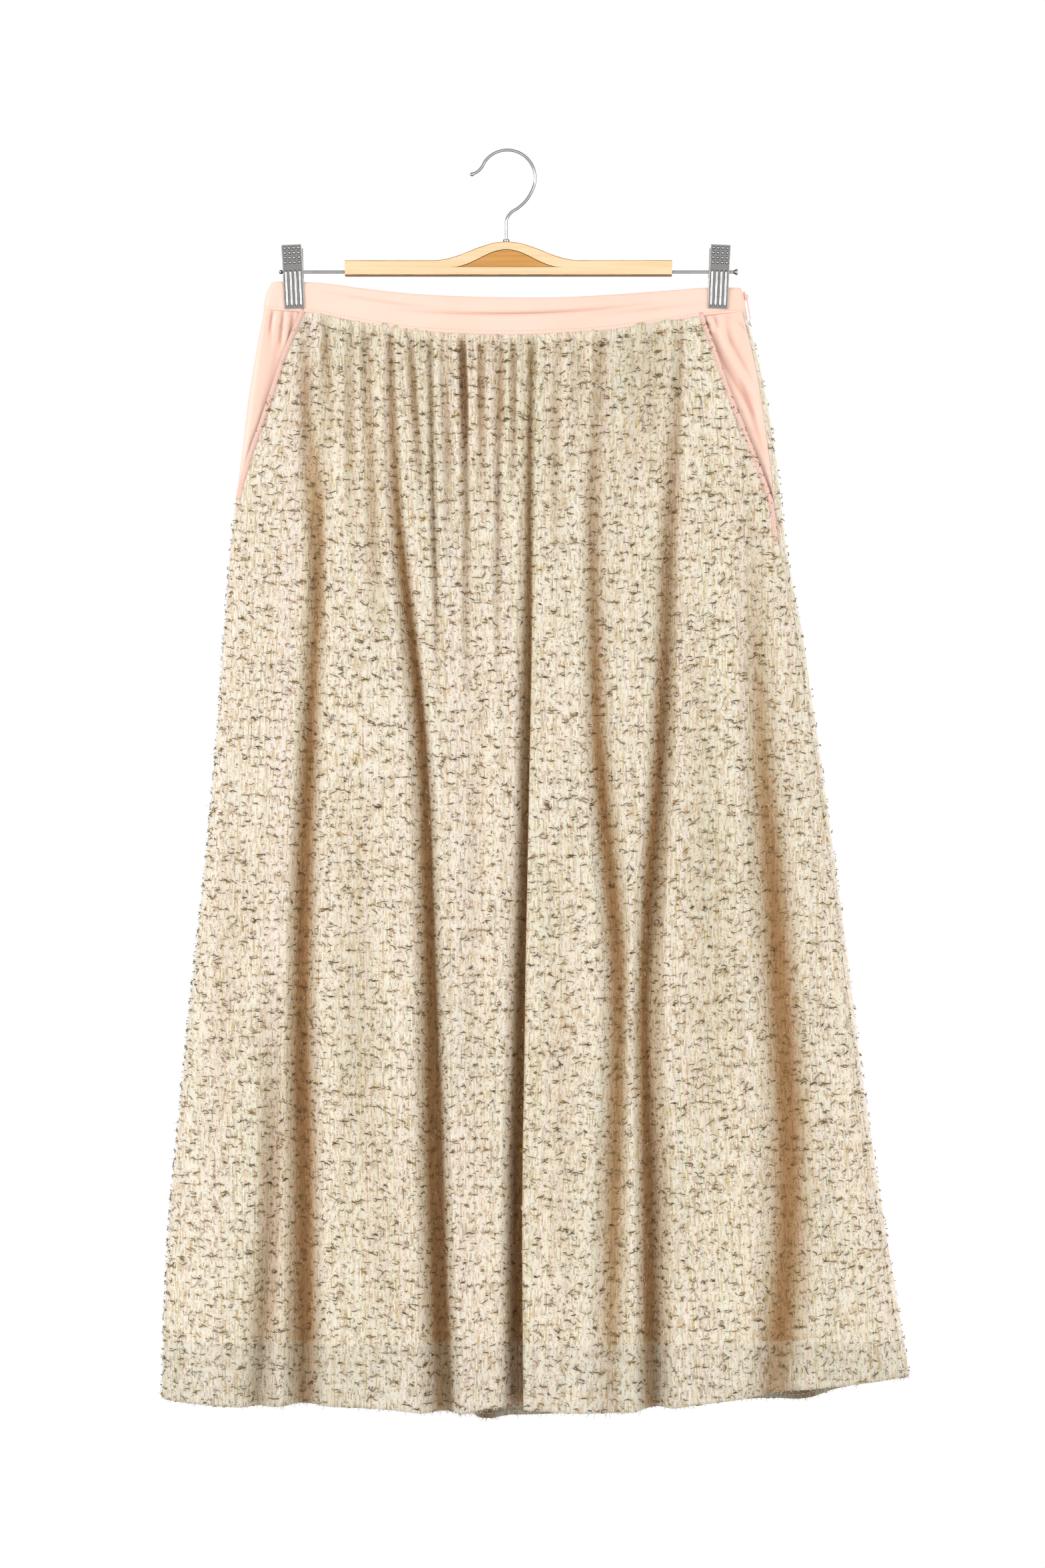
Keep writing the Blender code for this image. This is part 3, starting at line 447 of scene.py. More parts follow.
def rimmed(slot, slots, low, high, down, anchors, folds):
    """Across for these slots: the places of RIM fill the first and the last one."""
    half = half_at(down)
    steps = len(RIM) - 1
    from_left = np.interp(slot * steps, range(len(RIM)), RIM) / half
    from_right = np.interp((slots - slot) * steps, range(len(RIM)), RIM) / half
    inner = (low + RIM[-1] / half, high - RIM[-1] / half)
    between = places(slot, slots, *inner, down, anchors, folds)
    across = np.where(slot < 1, low + from_left, between)
    return np.where(slot > slots - 1, high - from_right, across)


def front_tube(across, down, swell=0.0):
    """Points on the front panel's middle surface."""
    drop = panel_drop(across, down)
    return tube(across, drop, CLOTH / 2, below_band(across, drop), swell)


def front_row(share, down):
    """One level of the front panel."""
    low, high = pocket_edge(down, POCKET_LEFT, -1), pocket_edge(down, POCKET_RIGHT, 1)
    slot = share * FRONT_SLOTS
    across = rimmed(slot, FRONT_SLOTS, low, high, down, FRONT_ANCHORS, FRONT_FOLDS)
    below = below_band(across, panel_drop(across, down))
    return front_tube(across, down, gathers(slot, GATHERED_SLOTS["front"], below))


def back_row(share, down):
    """One level of the back panel, from the right side seam round to the left one."""
    seam = seam_across(down, 1) + 0.5 * SEAM / sides(WAIST_DROP, 0)[1]
    low = -1 + end_gap(panel_drop(-1, down, "back_hem"))
    over_back = np.clip((share - BACK_TURN) / (1 - BACK_TURN), 0, 1)
    slot = (1 - over_back) * BACK_SLOTS
    across = rimmed(slot, BACK_SLOTS, low, 1, down, BACK_ANCHORS, BACK_FOLDS)
    turning = share < BACK_TURN
    round_ = np.where(turning, mix(seam, 1, share / BACK_TURN), 2 - across)
    across = np.where(turning, round_, across)
    drop = np.where(turning, panel_drop(across, down), panel_drop(across, down, "back_hem"))
    below = below_band(across, drop)
    swell = np.where(turning, 0, gathers(slot, GATHERED_SLOTS["back"], below))
    return tube(round_, drop, CLOTH / 2, below, swell)


HIP_RIM = (0, 0.06, 0.18, 0.36, 1)  # shares of the columns at RIM's places and the far edge


def hip_row(share, down, pocket, outer):
    """One level of a hip panel and how far each of its points sinks under the front."""
    seam, mouth = seam_across(down, outer), pocket_edge(down, pocket, outer)
    half = half_at(down)
    inner = mouth - outer * POCKET_TUCK / half
    from_seam = share if outer < 0 else 1 - share
    width = abs(inner - seam) * half
    rim = np.interp(from_seam, HIP_RIM, [*(place / width for place in RIM), 1])
    across = seam + (inner - seam) * rim
    shown = max(abs(mouth - seam), 1e-6)
    covered = np.clip(np.abs(across - seam) / shown, 0, 1)
    sink = POCKET_SINK * (1 + down * SINK_GROWTH) * covered
    return front_tube(across, down), sink


def binding_row(share, down, pocket, outer):
    """One level of a pocket's binding."""
    mouth = pocket_edge(down, pocket, outer)
    width = BINDING_WIDTH / half_at(down)
    from_mouth = share if outer < 0 else 1 - share
    across = mouth - outer * width * from_mouth
    return front_tube(across, down)


def rounded_ends(share, gap):
    """Places from one outline to the other, closer together towards them."""
    return (1 - gap) * np.sin(math.pi * (share - 0.5))


def lining_row(share, down, side):
    """One level of a lining half. side is -1 for the front and 1 for the back."""
    across = -side * rounded_ends(share, end_gap(WAIST_DROP) / LINING_SHARE[0])
    band = read(EDGES, "across", "band_bottom", across)
    drop = mix(band - LINING_TUCK, LINING_DROP, down)
    below = drop - band
    middle, half = sides(drop, LINING_INSET)
    x = middle + half * across
    low, reach, progress = base_reach(x, across, drop)
    slim = mix(*LINING_SHARE, progress)
    sewn = 1 - ease(below / LINING_LEAVES_BAND)
    hung = mix(slim * reach, reach - LINING_FROM_BAND, sewn)
    hung = hung * rounded(half * (1 - np.abs(across)), slim * low)
    return np.stack([x, side * hung, -drop], axis=-1)


def band_row(share, down, side):
    """One level of a waistband half, with the soft crease along its middle."""
    across = -side * rounded_ends(share, end_gap(WAIST_DROP))
    top = read(EDGES, "across", "band_top", across)
    drop = mix(top, read(EDGES, "across", "band_bottom", across), down)
    middle, half = sides(drop, BAND / 2)
    between = (middle + half * across - CLIP_LEFT) / (CLIP_RIGHT - CLIP_LEFT)
    crown = np.sin(math.pi * np.clip(between, 0, 1)) ** 2
    lean = curve_through(down, column(BAND_CREASE, "down"), column(BAND_CREASE, "out"))
    round_ = across if side < 0 else 2 - across
    return tube(round_, drop, BAND / 2, 0, lean * crown)


# Grids and meshes


def grid_of(row, levels, shares, *more):
    return np.stack([row(shares, down, *more) for down in levels])


def unit(vectors):
    return vectors / np.maximum(np.linalg.norm(vectors, axis=-1, keepdims=True), 1e-9)


def mean_across(values, reach):
    """Mean of each value of a grid and its neighbours on both sides."""
    wide = np.pad(values, [(0, 0), (reach, reach), *[(0, 0)] * (values.ndim - 2)], mode="edge")
    shifts = range(2 * reach + 1)
    return sum(wide[:, k : k + values.shape[1]] for k in shifts) / len(shifts)


def normals(points):
    """Outward normals of a grid whose rows go down and whose columns go round."""
    facing = np.cross(np.gradient(points, axis=0), np.gradient(points, axis=1))
    facing[0, :, 2] = facing[-1, :, 2] = 0
    return unit(facing)


def linked(name, data):
    """A new object in the scene."""
    made = bpy.data.objects.new(name, data)
    bpy.context.scene.collection.objects.link(made)
    return made


def put_mesh(name, vertices, quads, material, triangles=np.empty((0, 3), int)):
    """A smooth mesh object from millimetre points and arrays of faces."""
    mesh = bpy.data.meshes.new(name)
    mesh.vertices.add(len(vertices))
    mesh.vertices.foreach_set("co", (vertices * MM).astype(np.float32).ravel())
    corners = np.concatenate([quads.ravel(), triangles.ravel()]).astype(np.int32)
    sizes = np.concatenate([np.full(len(quads), 4), np.full(len(triangles), 3)])
    mesh.loops.add(len(corners))
    mesh.loops.foreach_set("vertex_index", corners)
    mesh.polygons.add(len(sizes))
    starts = np.concatenate([[0], np.cumsum(sizes)[:-1]]).astype(np.int32)
    mesh.polygons.foreach_set("loop_start", starts)
    mesh.polygons.foreach_set("use_smooth", np.full(len(sizes), True))
    mesh.update(calc_edges=True)
    mesh.validate()
    mesh.materials.append(material)
    return linked(name, mesh)


def grid_faces(rows, columns, start=0, flip=False):
    index = start + np.arange(rows * columns).reshape(rows, columns)
    corners = [index[:-1, :-1], index[1:, :-1], index[1:, 1:], index[:-1, 1:]]
    faces = np.stack([c.ravel() for c in corners], axis=1)
    return faces[:, ::-1] if flip else faces


def runs(points):
    """Distance along each row of a grid, from its first point."""
    steps = np.linalg.norm(np.diff(points, axis=1), axis=-1)
    return np.concatenate([np.zeros((len(points), 1)), np.cumsum(steps, axis=1)], axis=1)


def shell(name, points, outward, inward, material, across_mm, down_mm, extra=None, strips=None):
    """A closed thin sheet round a grid, with a UV map in metres of cloth (across, down).
    extra holds more named numbers for each point of the grid, as vertex attributes.
    strips gives across at the two sides of each column of faces, where it isn't one value."""
    rows, columns = points.shape[:2]
    facing = normals(points)
    outer = points + facing * np.broadcast_to(outward, (rows, columns))[..., None]
    inner = points - facing * np.broadcast_to(inward, (rows, columns))[..., None]
    count = rows * columns
    front, back = grid_faces(rows, columns), grid_faces(rows, columns, count, flip=True)
    index = np.arange(count).reshape(rows, columns)
    rim = np.concatenate([index[0, :], index[1:, -1], index[-1, -2::-1], index[-2:0:-1, 0]])
    after = np.roll(rim, -1)
    edge = np.stack([rim, after, after + count, rim + count], axis=1)
    faces = np.concatenate([front, back, edge])
    vertices = np.concatenate([outer.reshape(-1, 3), inner.reshape(-1, 3)])
    obj = put_mesh(name, vertices, faces, material)
    mesh = obj.data
    flat = np.stack([np.broadcast_to(way, (rows, columns)) for way in (across_mm, down_mm)], -1)
    flat = np.tile(flat.reshape(-1, 2), (2, 1)) * MM
    corner = np.empty(len(mesh.loops), np.int32)
    mesh.loops.foreach_get("vertex_index", corner)
    uv = flat[corner]
    if strips is not None:
        low, high = strips[..., 0], strips[..., 1]
        around = np.stack([low[:-1], low[1:], high[1:], high[:-1]], axis=-1).reshape(-1, 4) * MM
        uv[: around.size, 0] = around.ravel()
        uv[around.size : 2 * around.size, 0] = around[:, ::-1].ravel()
    mesh.uv_layers.new(name="cloth").data.foreach_set("uv", uv.astype(np.float32).ravel())
    side = np.repeat([0.0, 1.0], count)
    for key, values in {"inside": side, **(extra or {})}.items():
        if len(np.ravel(values)) == count:
            values = np.tile(np.ravel(values), 2)
        layer = mesh.attributes.new(key, "FLOAT", "POINT")
        layer.data.foreach_set("value", np.asarray(values, np.float32))
    return obj


def smooth_noise(seed, rows, columns, cell_down, cell_across):
    """Soft random hills between -1 and 1 on a grid, from a seeded coarse one."""
    draw = np.random.default_rng(seed)
    coarse = draw.uniform(-1, 1, (int(rows / cell_down) + 3, int(columns / cell_across) + 3))
    i, j = np.arange(rows) / cell_down, np.arange(columns) / cell_across
    i0, j0 = i.astype(int), j.astype(int)
    u, v = ease(i - i0)[:, None], ease(j - j0)[None, :]
    top = mix(coarse[i0][:, j0], coarse[i0][:, j0 + 1], v)
    low = mix(coarse[i0 + 1][:, j0], coarse[i0 + 1][:, j0 + 1], v)
    return mix(top, low, u)


def creased(points, creases):
    """How deep the small creases are at each point."""
    x, drop = points[..., 0], -points[..., 2]
    total = np.zeros_like(x)
    for crease in creases:
        along = (drop - crease.drop_top) / (crease.drop_low - crease.drop_top)
        middle = mix(crease.x_top, crease.x_low, np.clip(along, 0, 1))
        fade = np.sin(math.pi * np.clip(mix(0.12, 1, along), 0, 1)) ** 0.8
        total += crease.depth * fade * np.exp(-(((x - middle) / crease.width) ** 2))
    return total


def cavity(points, facing, reach):
    """How far each point lies below the mean of its neighbours on both sides, in mm."""
    return np.sum((mean_across(points, reach) - points) * facing, axis=-1)


def leaned(points, overhangs, folds):
    """Moves the ridge to the right of a main fold over its trough."""
    x, drop = points[..., 0], -points[..., 2]
    down = way_down(drop)
    moved = np.zeros_like(x)
    named = {fold.name: fold for fold in folds}
    for hang in overhangs:
        fold = named[hang.fold]
        off = x - fold_at(fold, drop)[0]
        start = fold.right * mix(FOLD_WIDTH_AT_WAIST, 1, down)
        rise = ease((off - 0.25 * start) / (0.6 * start))
        fall = 1 - ease((off - start) / hang.width)
        moved += hang.most * ease(down * 1.6) * rise * fall
    return points - np.stack([moved, np.zeros_like(x), np.zeros_like(x)], axis=-1)


# Materials


def new_material(name, colour, roughness, metallic=0.0, **sockets):
    """A Principled material: its tree and shader come with it."""
    made = bpy.data.materials.new(name)
    made.use_nodes = True
    shader = made.node_tree.nodes["Principled BSDF"]
    shader.inputs["Base Color"].default_value = (*colour, 1)
    shader.inputs["Roughness"].default_value = roughness
    shader.inputs["Metallic"].default_value = metallic
    for socket, value in sockets.items():
        shader.inputs[socket.replace("_", " ")].default_value = value
    return made, made.node_tree, shader


def add_node(tree, kind, inputs=None, **settings):
    node = tree.nodes.new(kind)
    for key, value in settings.items():
        setattr(node, key, value)
    for key, value in (inputs or {}).items():
        if isinstance(value, bpy.types.NodeSocket):
            tree.links.new(value, node.inputs[key])
        else:
            node.inputs[key].default_value = value
    return node


def math_node(tree, operation, a, b=0.0, clamp=False):
    node = add_node(tree, "ShaderNodeMath", {0: a, 1: b}, operation=operation, use_clamp=clamp)
    return node.outputs[0]


def times(tree, a, b, clamp=False):
    return math_node(tree, "MULTIPLY", a, b, clamp)


def plus(tree, a, b, clamp=False):
    return math_node(tree, "ADD", a, b, clamp)


def minus(tree, a, b):
    return math_node(tree, "SUBTRACT", a, b)


def blend_colours(tree, factor, a, b, how="MIX"):
    node = tree.nodes.new("ShaderNodeMix")
    node.data_type = "RGBA"
    node.blend_type = how
    for socket, value in zip((node.inputs[0], node.inputs[6], node.inputs[7]), (factor, a, b)):
        if isinstance(value, bpy.types.NodeSocket):
            tree.links.new(value, socket)
        else:
            socket.default_value = value if isinstance(value, float) else (*value[:3], 1)
    return node.outputs[2]


def tinted(tree, factor, colour, tint):
    return blend_colours(tree, factor, colour, tint, "MULTIPLY")


def darker(colour, share):
    return tuple(share * value for value in colour)


def from_object(tree):
    return add_node(tree, "ShaderNodeTexCoord").outputs["Object"]


def from_cloth(tree):
    return add_node(tree, "ShaderNodeUVMap", uv_map="cloth").outputs[0]


def attribute(tree, name):
    return add_node(tree, "ShaderNodeAttribute", attribute_name=name).outputs["Fac"]


def scaled(tree, vector, scale):
    return add_node(tree, "ShaderNodeMapping", {"Vector": vector, "Scale": scale}).outputs[0]


def noise(tree, vector, scale, detail=2.0, roughness=0.5):
    inputs = {"Vector": vector, "Scale": scale, "Detail": detail, "Roughness": roughness}
    return add_node(tree, "ShaderNodeTexNoise", inputs).outputs[0]


def stretched_noise(tree, vector, scale, detail, roughness=0.5):
    """Noise that is finer one way than another. scale is for each metre, x, y and z."""
    return noise(tree, scaled(tree, vector, scale), 1.0, detail, roughness)


def ramp(tree, value, low, high):
    """0 below low and 1 above high, soft between them."""
    inputs = {"Value": value, "From Min": low, "From Max": high}
    return add_node(
        tree, "ShaderNodeMapRange", inputs, interpolation_type="SMOOTHSTEP"
    ).outputs[0]


def paint(tree, shader, colour, height=None, strength=0.0, distance=0.0003):
    """Gives a shader its colour and, from a height, its fine relief."""
    tree.links.new(colour, shader.inputs["Base Color"])
    if height is not None:
        inputs = {"Height": height, "Strength": strength, "Distance": distance}
        bump = add_node(tree, "ShaderNodeBump", inputs)
        tree.links.new(bump.outputs[0], shader.inputs["Normal"])


def place_of(tree, x, y=0.0):
    return add_node(tree, "ShaderNodeCombineXYZ", {0: x, 1: y}).outputs[0]


def split(tree, vector):
    return add_node(tree, "ShaderNodeSeparateXYZ", {0: vector}).outputs


def hump_of(tree, value):
    """0 at whole numbers and 1 between them."""
    wave = math_node(tree, "SINE", times(tree, value, math.pi))
    return math_node(tree, "ABSOLUTE", wave)


def along_thread(tree, thread, apart, down, long):
    """Soft random values along a thread, unlike those of the threads beside it."""
    place = place_of(tree, times(tree, thread, apart), times(tree, down, 1 / long))
    return noise(tree, place, 1.0, 1.0)


def flecked_cloth():
    """Sheer cloth of fine upright threads, each of its own colour, with dark, gold and white
    dashes along them. Over its lining it is tan, most in the troughs, which is the lining seen
    through and painted shade; the bottoms of the deep folds have more painted shade. Below
    the lining's edge it is greyer, with painted shade in the troughs there, and its inner
    face is darker as painted shade."""
    look = bpy.context.scene.skirt_cloth
    made, tree, shader = new_material("flecked cloth", look.ivory, 0.7, Sheen_Weight=0.2)
    cloth = from_cloth(tree)
    across, down = split(tree, cloth)[:2]
    wander = stretched_noise(tree, cloth, (60, 22, 1), 1.0)
    place = times(tree, across, 1 / look.thread_gap)
    place = plus(tree, place, times(tree, wander, 1.1))
    thread = math_node(tree, "FLOOR", place)
    rib = hump_of(tree, place)
    own, own_colour = add_node(
        tree, "ShaderNodeTexWhiteNoise", {"Vector": place_of(tree, thread)}
    ).outputs
    lift = minus(tree, times(tree, own, 0.18), 0.09)
    tone = plus(tree, along_thread(tree, thread, 7.13, down, look.thread_run), lift)
    colour = blend_colours(tree, ramp(tree, tone, 0.36, 0.56), look.ivory, look.pale_thread)
    colour = blend_colours(tree, ramp(tree, tone, 0.60, 0.70), colour, look.grey_thread)
    colour = blend_colours(tree, ramp(tree, tone, 0.38, 0.26), colour, look.gold_thread)
    colour = tinted(tree, 0.1, colour, own_colour)
    loose = stretched_noise(tree, cloth, (70, 120, 1), 2.0)
    dash = along_thread(tree, thread, 5.37, down, look.dash)
    dash = plus(tree, dash, times(tree, loose, 0.16))
    top = ramp(tree, rib, 0.2, 0.7)
    dark = times(tree, ramp(tree, dash, 0.485, 0.40), 0.72)
    colour = blend_colours(tree, times(tree, dark, top), colour, look.brown_thread)
    gold = times(tree, ramp(tree, dash, 0.74, 0.79), 0.6)
    colour = blend_colours(tree, times(tree, gold, top), colour, look.gold_thread)
    pale = times(tree, ramp(tree, dash, 0.64, 0.70), 0.45)
    colour = blend_colours(tree, times(tree, pale, top), colour, look.pale_thread)
    between = minus(tree, 1.0, ramp(tree, rib, 0.0, 0.55))
    colour = blend_colours(tree, times(tree, between, 0.6), colour, look.between)
    broad = stretched_noise(tree, cloth, (16, 4.5, 1), 2.0)
    cool = times(tree, ramp(tree, broad, 0.45, 0.68), 0.55)
    colour = tinted(tree, cool, colour, look.cool)
    # Tan over the lining, most in the troughs: the lining seen through, and painted shade in the folds
    near = times(tree, attribute(tree, "trough"), look.tan_and_shade_in_troughs)
    warm = minus(tree, 0.34, times(tree, broad, 0.3))
    near = plus(tree, near, warm, clamp=True)
    lined = ramp(tree, down, (LINING_DROP + 2.5) * MM, (LINING_DROP - 1) * MM)
    near = times(tree, near, lined)
    colour = tinted(tree, near, colour, look.tan)
    # Painted shade: darker still at the bottom of the deep folds
    deep_fold_shade = times(tree, ramp(tree, attribute(tree, "trough"), 0.25, 0.95), 0.8)
    colour = tinted(tree, deep_fold_shade, colour, look.deep_fold_shade)
    unlined = minus(tree, 1.0, lined)
    # Below the lining's edge the cloth is greyer, seen without its lining, and darker in the troughs as
    # painted shade
    deep = times(tree, attribute(tree, "trough"), 0.7)
    sheer_and_shade = times(tree, unlined, plus(tree, deep, 0.42), clamp=True)
    colour = tinted(tree, sheer_and_shade, colour, look.sheer_and_shade)
    # Painted shade: the inner face, inside the skirt, is darker
    inner = times(tree, attribute(tree, "inside"), 0.85)
    colour = tinted(tree, inner, colour, look.sheer_and_shade)
    paint(tree, shader, colour, rib, 0.5)
    return made


def cut_thread(name, colours, roughness, metallic=0.0):
    """A thread whose colour changes from one thread to the next."""
    made, tree, shader = new_material(name, colours[0], roughness, metallic)
    shader.inputs["Specular IOR Level"].default_value = 0.15
    where = noise(tree, from_object(tree), 160.0, 1.0)
    colour = blend_colours(tree, ramp(tree, where, 0.42, 0.5), colours[0], colours[1])
    colour = blend_colours(tree, ramp(tree, where, 0.56, 0.62), colour, colours[2])
    paint(tree, shader, colour)
    return made


def pink_satin():
    look = bpy.context.scene.skirt_trim
    made, tree, shader = new_material("pink satin", look.pink, 0.5, Sheen_Weight=0.35)
    where = from_object(tree)
    cloudy = noise(tree, where, 18.0, 3.0)
    colour = blend_colours(tree, ramp(tree, cloudy, 0.35, 0.7), look.pink, look.pink_shade)
    grain = stretched_noise(tree, where, (2600, 2600, 1500), 1.0)
    colour = blend_colours(tree, times(tree, grain, 0.1), colour, look.pink_line)
    # Painted shade: darker pink in the folds and creases, from the fold attribute
    colour = blend_colours(tree, attribute(tree, "fold"), colour, look.pink_fold_shade)
    paint(tree, shader, colour, plus(tree, grain, cloudy), 0.12)
    return made


def pink_twill():
    """Ribs that run aslant over the binding."""
    look = bpy.context.scene.skirt_trim
    made, tree, shader = new_material("pink twill", look.pink_twill, 0.45, Sheen_Weight=0.3)
    across, along = split(tree, from_cloth(tree))[:2]
    slant = plus(tree, across, along)
    rib = math_node(tree, "SINE", times(tree, slant, 2 * math.pi / look.twill_gap))
    rib = plus(tree, times(tree, rib, 0.5), 0.5)
    colour = blend_colours(tree, rib, look.pink_line, look.pink_twill)
    paint(tree, shader, colour, rib, 0.7, 0.0004)
    return made


def tan_lining():
    look = bpy.context.scene.skirt_cloth
    made, tree, shader = new_material("tan lining", look.lining, 0.5, Sheen_Weight=0.3)
    cloth = from_cloth(tree)
    weave = stretched_noise(tree, cloth, (2200, 120, 1), 2.0)
    cross = stretched_noise(tree, cloth, (120, 2200, 1), 2.0)
    both = plus(tree, weave, cross)
    woven = ramp(tree, both, 0.8, 1.25)
    colour = blend_colours(tree, woven, look.lining, darker(look.lining, 0.72))
    paint(tree, shader, colour, both, 0.2)
    return made


def wood(name, pale, grain_colour, upper, under):
    """Oiled wood with its grain along the bar, and other colours above and below."""
    made, tree, shader = new_material(name, pale, 0.5, Specular_IOR_Level=0.12)
    where = add_node(tree, "ShaderNodeTexCoord")
    grain = stretched_noise(tree, where.outputs["Object"], (9, 160, 420), 4.0, 0.6)
    fine = stretched_noise(tree, where.outputs["Object"], (40, 900, 2400), 2.0)
    both = plus(tree, grain, times(tree, fine, 0.3))
    colour = blend_colours(tree, ramp(tree, both, 0.5, 0.85), pale, grain_colour)
    facing = split(tree, where.outputs["Normal"])[2]
    colour = blend_colours(tree, ramp(tree, facing, 0.12, 0.4), colour, upper)
    colour = blend_colours(tree, ramp(tree, facing, -0.12, -0.4), colour, under)
    paint(tree, shader, colour, both, 0.08)
    return made


# Painted reflection: the chrome's grey at each share of turning away from the view, for flat plates and
# round wires
Shine = namedtuple("Shine", "place grey")
PLATE_SHINE = (Shine(0, 0.29), Shine(0.3, 0.4), Shine(0.62, 0.13), Shine(1, 0.06))
ROUND_SHINE = (Shine(0, 0.62), Shine(0.06, 0.5), Shine(0.17, 0.17), Shine(0.4, 0.06), Shine(1, 0.03))


def chrome_with_painted_reflection(name, shine):
    """Chrome with a painted reflection of a studio: the greys of its colour change as its surface turns
    away.
    """
    made, tree, shader = new_material(name, (0.5, 0.5, 0.5), 0.16, 1.0)
    # Painted reflection: the colour is a grey read from the shine table by how far the surface turns
    # away
    facing = add_node(tree, "ShaderNodeLayerWeight", {"Blend": 0.5}).outputs["Facing"]
    # Noise that makes the roughness uneven and the painted reflection cloudy
    wear_and_reflection = noise(tree, from_object(tree), 260.0, 3.0)
    cloudy = plus(tree, facing, times(tree, wear_and_reflection, 0.12))
    grey = add_node(tree, "ShaderNodeValToRGB", {0: minus(tree, cloudy, 0.06)})
    ends = grey.color_ramp.elements
    while len(ends) < len(shine):
        ends.new(0.5)
    for end, stop in zip(ends, shine):
        end.position = stop.place
        end.color = (stop.grey, 0.98 * stop.grey, 0.97 * stop.grey, 1)
    paint(tree, shader, grey.outputs[0])
    tree.links.new(ramp(tree, wear_and_reflection, -0.6, 3.2), shader.inputs["Roughness"])
    return made


def mottled(name, colour, shade, roughness, scale, low, high, **sockets):
    """A material with soft patches of a second colour."""
    made, tree, shader = new_material(name, colour, roughness, **sockets)
    patch = ramp(tree, noise(tree, from_object(tree), scale, 2.0), low, high)
    paint(tree, shader, blend_colours(tree, patch, colour, shade))
    return made


def pink_lacquer():
    pink = bpy.context.scene.skirt_trim.pink_metal
    return mottled(
        "pink lacquer", pink, darker(pink, 0.8), 0.3, 500.0, 0.45, 0.7, Coat_Weight=0.5
    )


def stained_edge():
    look = bpy.context.scene.skirt_hanger
    return mottled(
        "stained edge", look.edge, look.caramel_grain, 0.9, 90.0, 0.4, 0.62,
        Specular_IOR_Level=0.05,
    )


def material_called(name, maker, *more):
    return bpy.data.materials.get(name) or maker(*more)


def dark_threads():
    look = bpy.context.scene.skirt_cloth
    return cut_thread("dark cut threads", (look.dark_thread, look.olive_thread, look.brown_thread), 0.65)


def gold_threads():
    return cut_thread("gold threads", ((0.9, 0.66, 0.22), (0.95, 0.82, 0.5), (0.7, 0.5, 0.2)), 0.3, 0.7)


def pale_threads():
    return cut_thread("pale threads", ((0.95, 0.92, 0.82), (0.9, 0.84, 0.66), (1.0, 0.98, 0.94)), 0.45)


def pink_thread():
    look = bpy.context.scene.skirt_trim
    return cut_thread("pink sewing thread", (look.pink_twill, look.pink_shade, look.pink_twill), 0.5)


# Threads and stitches, as joined meshes


def at_grid(points, i, j):
    """A grid's values at broken row and column numbers."""
    rows, columns = points.shape[:2]
    i, j = np.clip(i, 0, rows - 1.001), np.clip(j, 0, columns - 1.001)
    i0, j0 = i.astype(int), j.astype(int)
    u, v = (i - i0)[..., None], (j - j0)[..., None]
    top = mix(points[i0, j0], points[i0, j0 + 1], v)
    low = mix(points[i0 + 1, j0], points[i0 + 1, j0 + 1], v)
    return mix(top, low, u)


def strands(name, paths, facing, radius, material):
    """Three-sided threads as one mesh. paths and facing are (thread, point, xyz) arrays,
    and radius one number for each point of each thread."""
    count, steps = paths.shape[:2]
    along = unit(np.gradient(paths, axis=1))
    side = unit(np.cross(along, facing))
    up = np.cross(side, along)
    turn = np.arange(3) * 2 * math.pi / 3
    ring = up[:, :, None] * np.cos(turn)[:, None] + side[:, :, None] * np.sin(turn)[:, None]
    vertices = paths[:, :, None] + ring * np.broadcast_to(radius, (count, steps))[..., None, None]
    index = np.arange(count * steps * 3).reshape(count, steps, 3)
    after = np.roll(index, -1, axis=2)
    quads = np.stack([index[:, :-1], after[:, :-1], after[:, 1:], index[:, 1:]], axis=-1)
    caps = np.concatenate([index[:, 0, ::-1], index[:, -1]])
    return put_mesh(name, vertices.reshape(-1, 3), quads.reshape(-1, 4), material, caps)


# Cut threads of one kind: how many, what is added to the panel's seed for them, how long and
# thick they are, their material, the points of each, and their tilt's mean and spread
ThreadKind = namedtuple(
    "ThreadKind", "name count seed length thick material steps tilt", defaults=(3, (0, 0.42))
)
ROW_GAP, ROW_SCATTER = 7.6, 1.7  # the loose rows that the threads are cut in
THREAD_LIFT, LOOSE_LIFT, END_LIFT = 0.35, 0.5, 1.3  # off the cloth
FRINGE_CURL = 0.35
TOP_ROW = 1.8  # a thread that would lie above it, under the band, is mirrored below it


def places_on(points, count, seed):
    """Broken row and column numbers spread evenly over a grid's area, in loose rows."""
    draw = np.random.default_rng(seed)
    across = np.linalg.norm(np.diff(points, axis=1), axis=-1)[:-1]
    down = np.linalg.norm(np.diff(points, axis=0), axis=-1)[:, :-1]
    area = np.cumsum((across * down).ravel())
    spread = (np.arange(count) + draw.uniform(0, 1, count)) / count
    cell = np.searchsorted(area, draw.permutation(spread) * area[-1])
    i0, j0 = np.unravel_index(cell, across.shape)
    i, j = i0 + draw.uniform(0, 1, count), j0 + draw.uniform(0, 1, count)
    drop = -at_grid(points, i, j)[:, 2]
    wave = 2.5 * np.sin(at_grid(points, i, j)[:, 0] / 31 + drop / 57)
    row = np.round((drop + wave) / ROW_GAP) * ROW_GAP - wave
    target = row + draw.normal(0, ROW_SCATTER, count)
    i += (target - drop) / down[i0, j0]
    return np.where(i < TOP_ROW, 2 * TOP_ROW - i, i), j, across[i0, j0], down[i0, j0], draw


def beside_left_pocket(place):
    """True where the back's threads would stick out beside the pink hip panel."""
    x, drop = place[:, 0], -place[:, 2]
    return (x - read(OUTLINE, "drop", "left", drop) < 10) & (drop < POCKET_LEFT[-1].drop + 6)


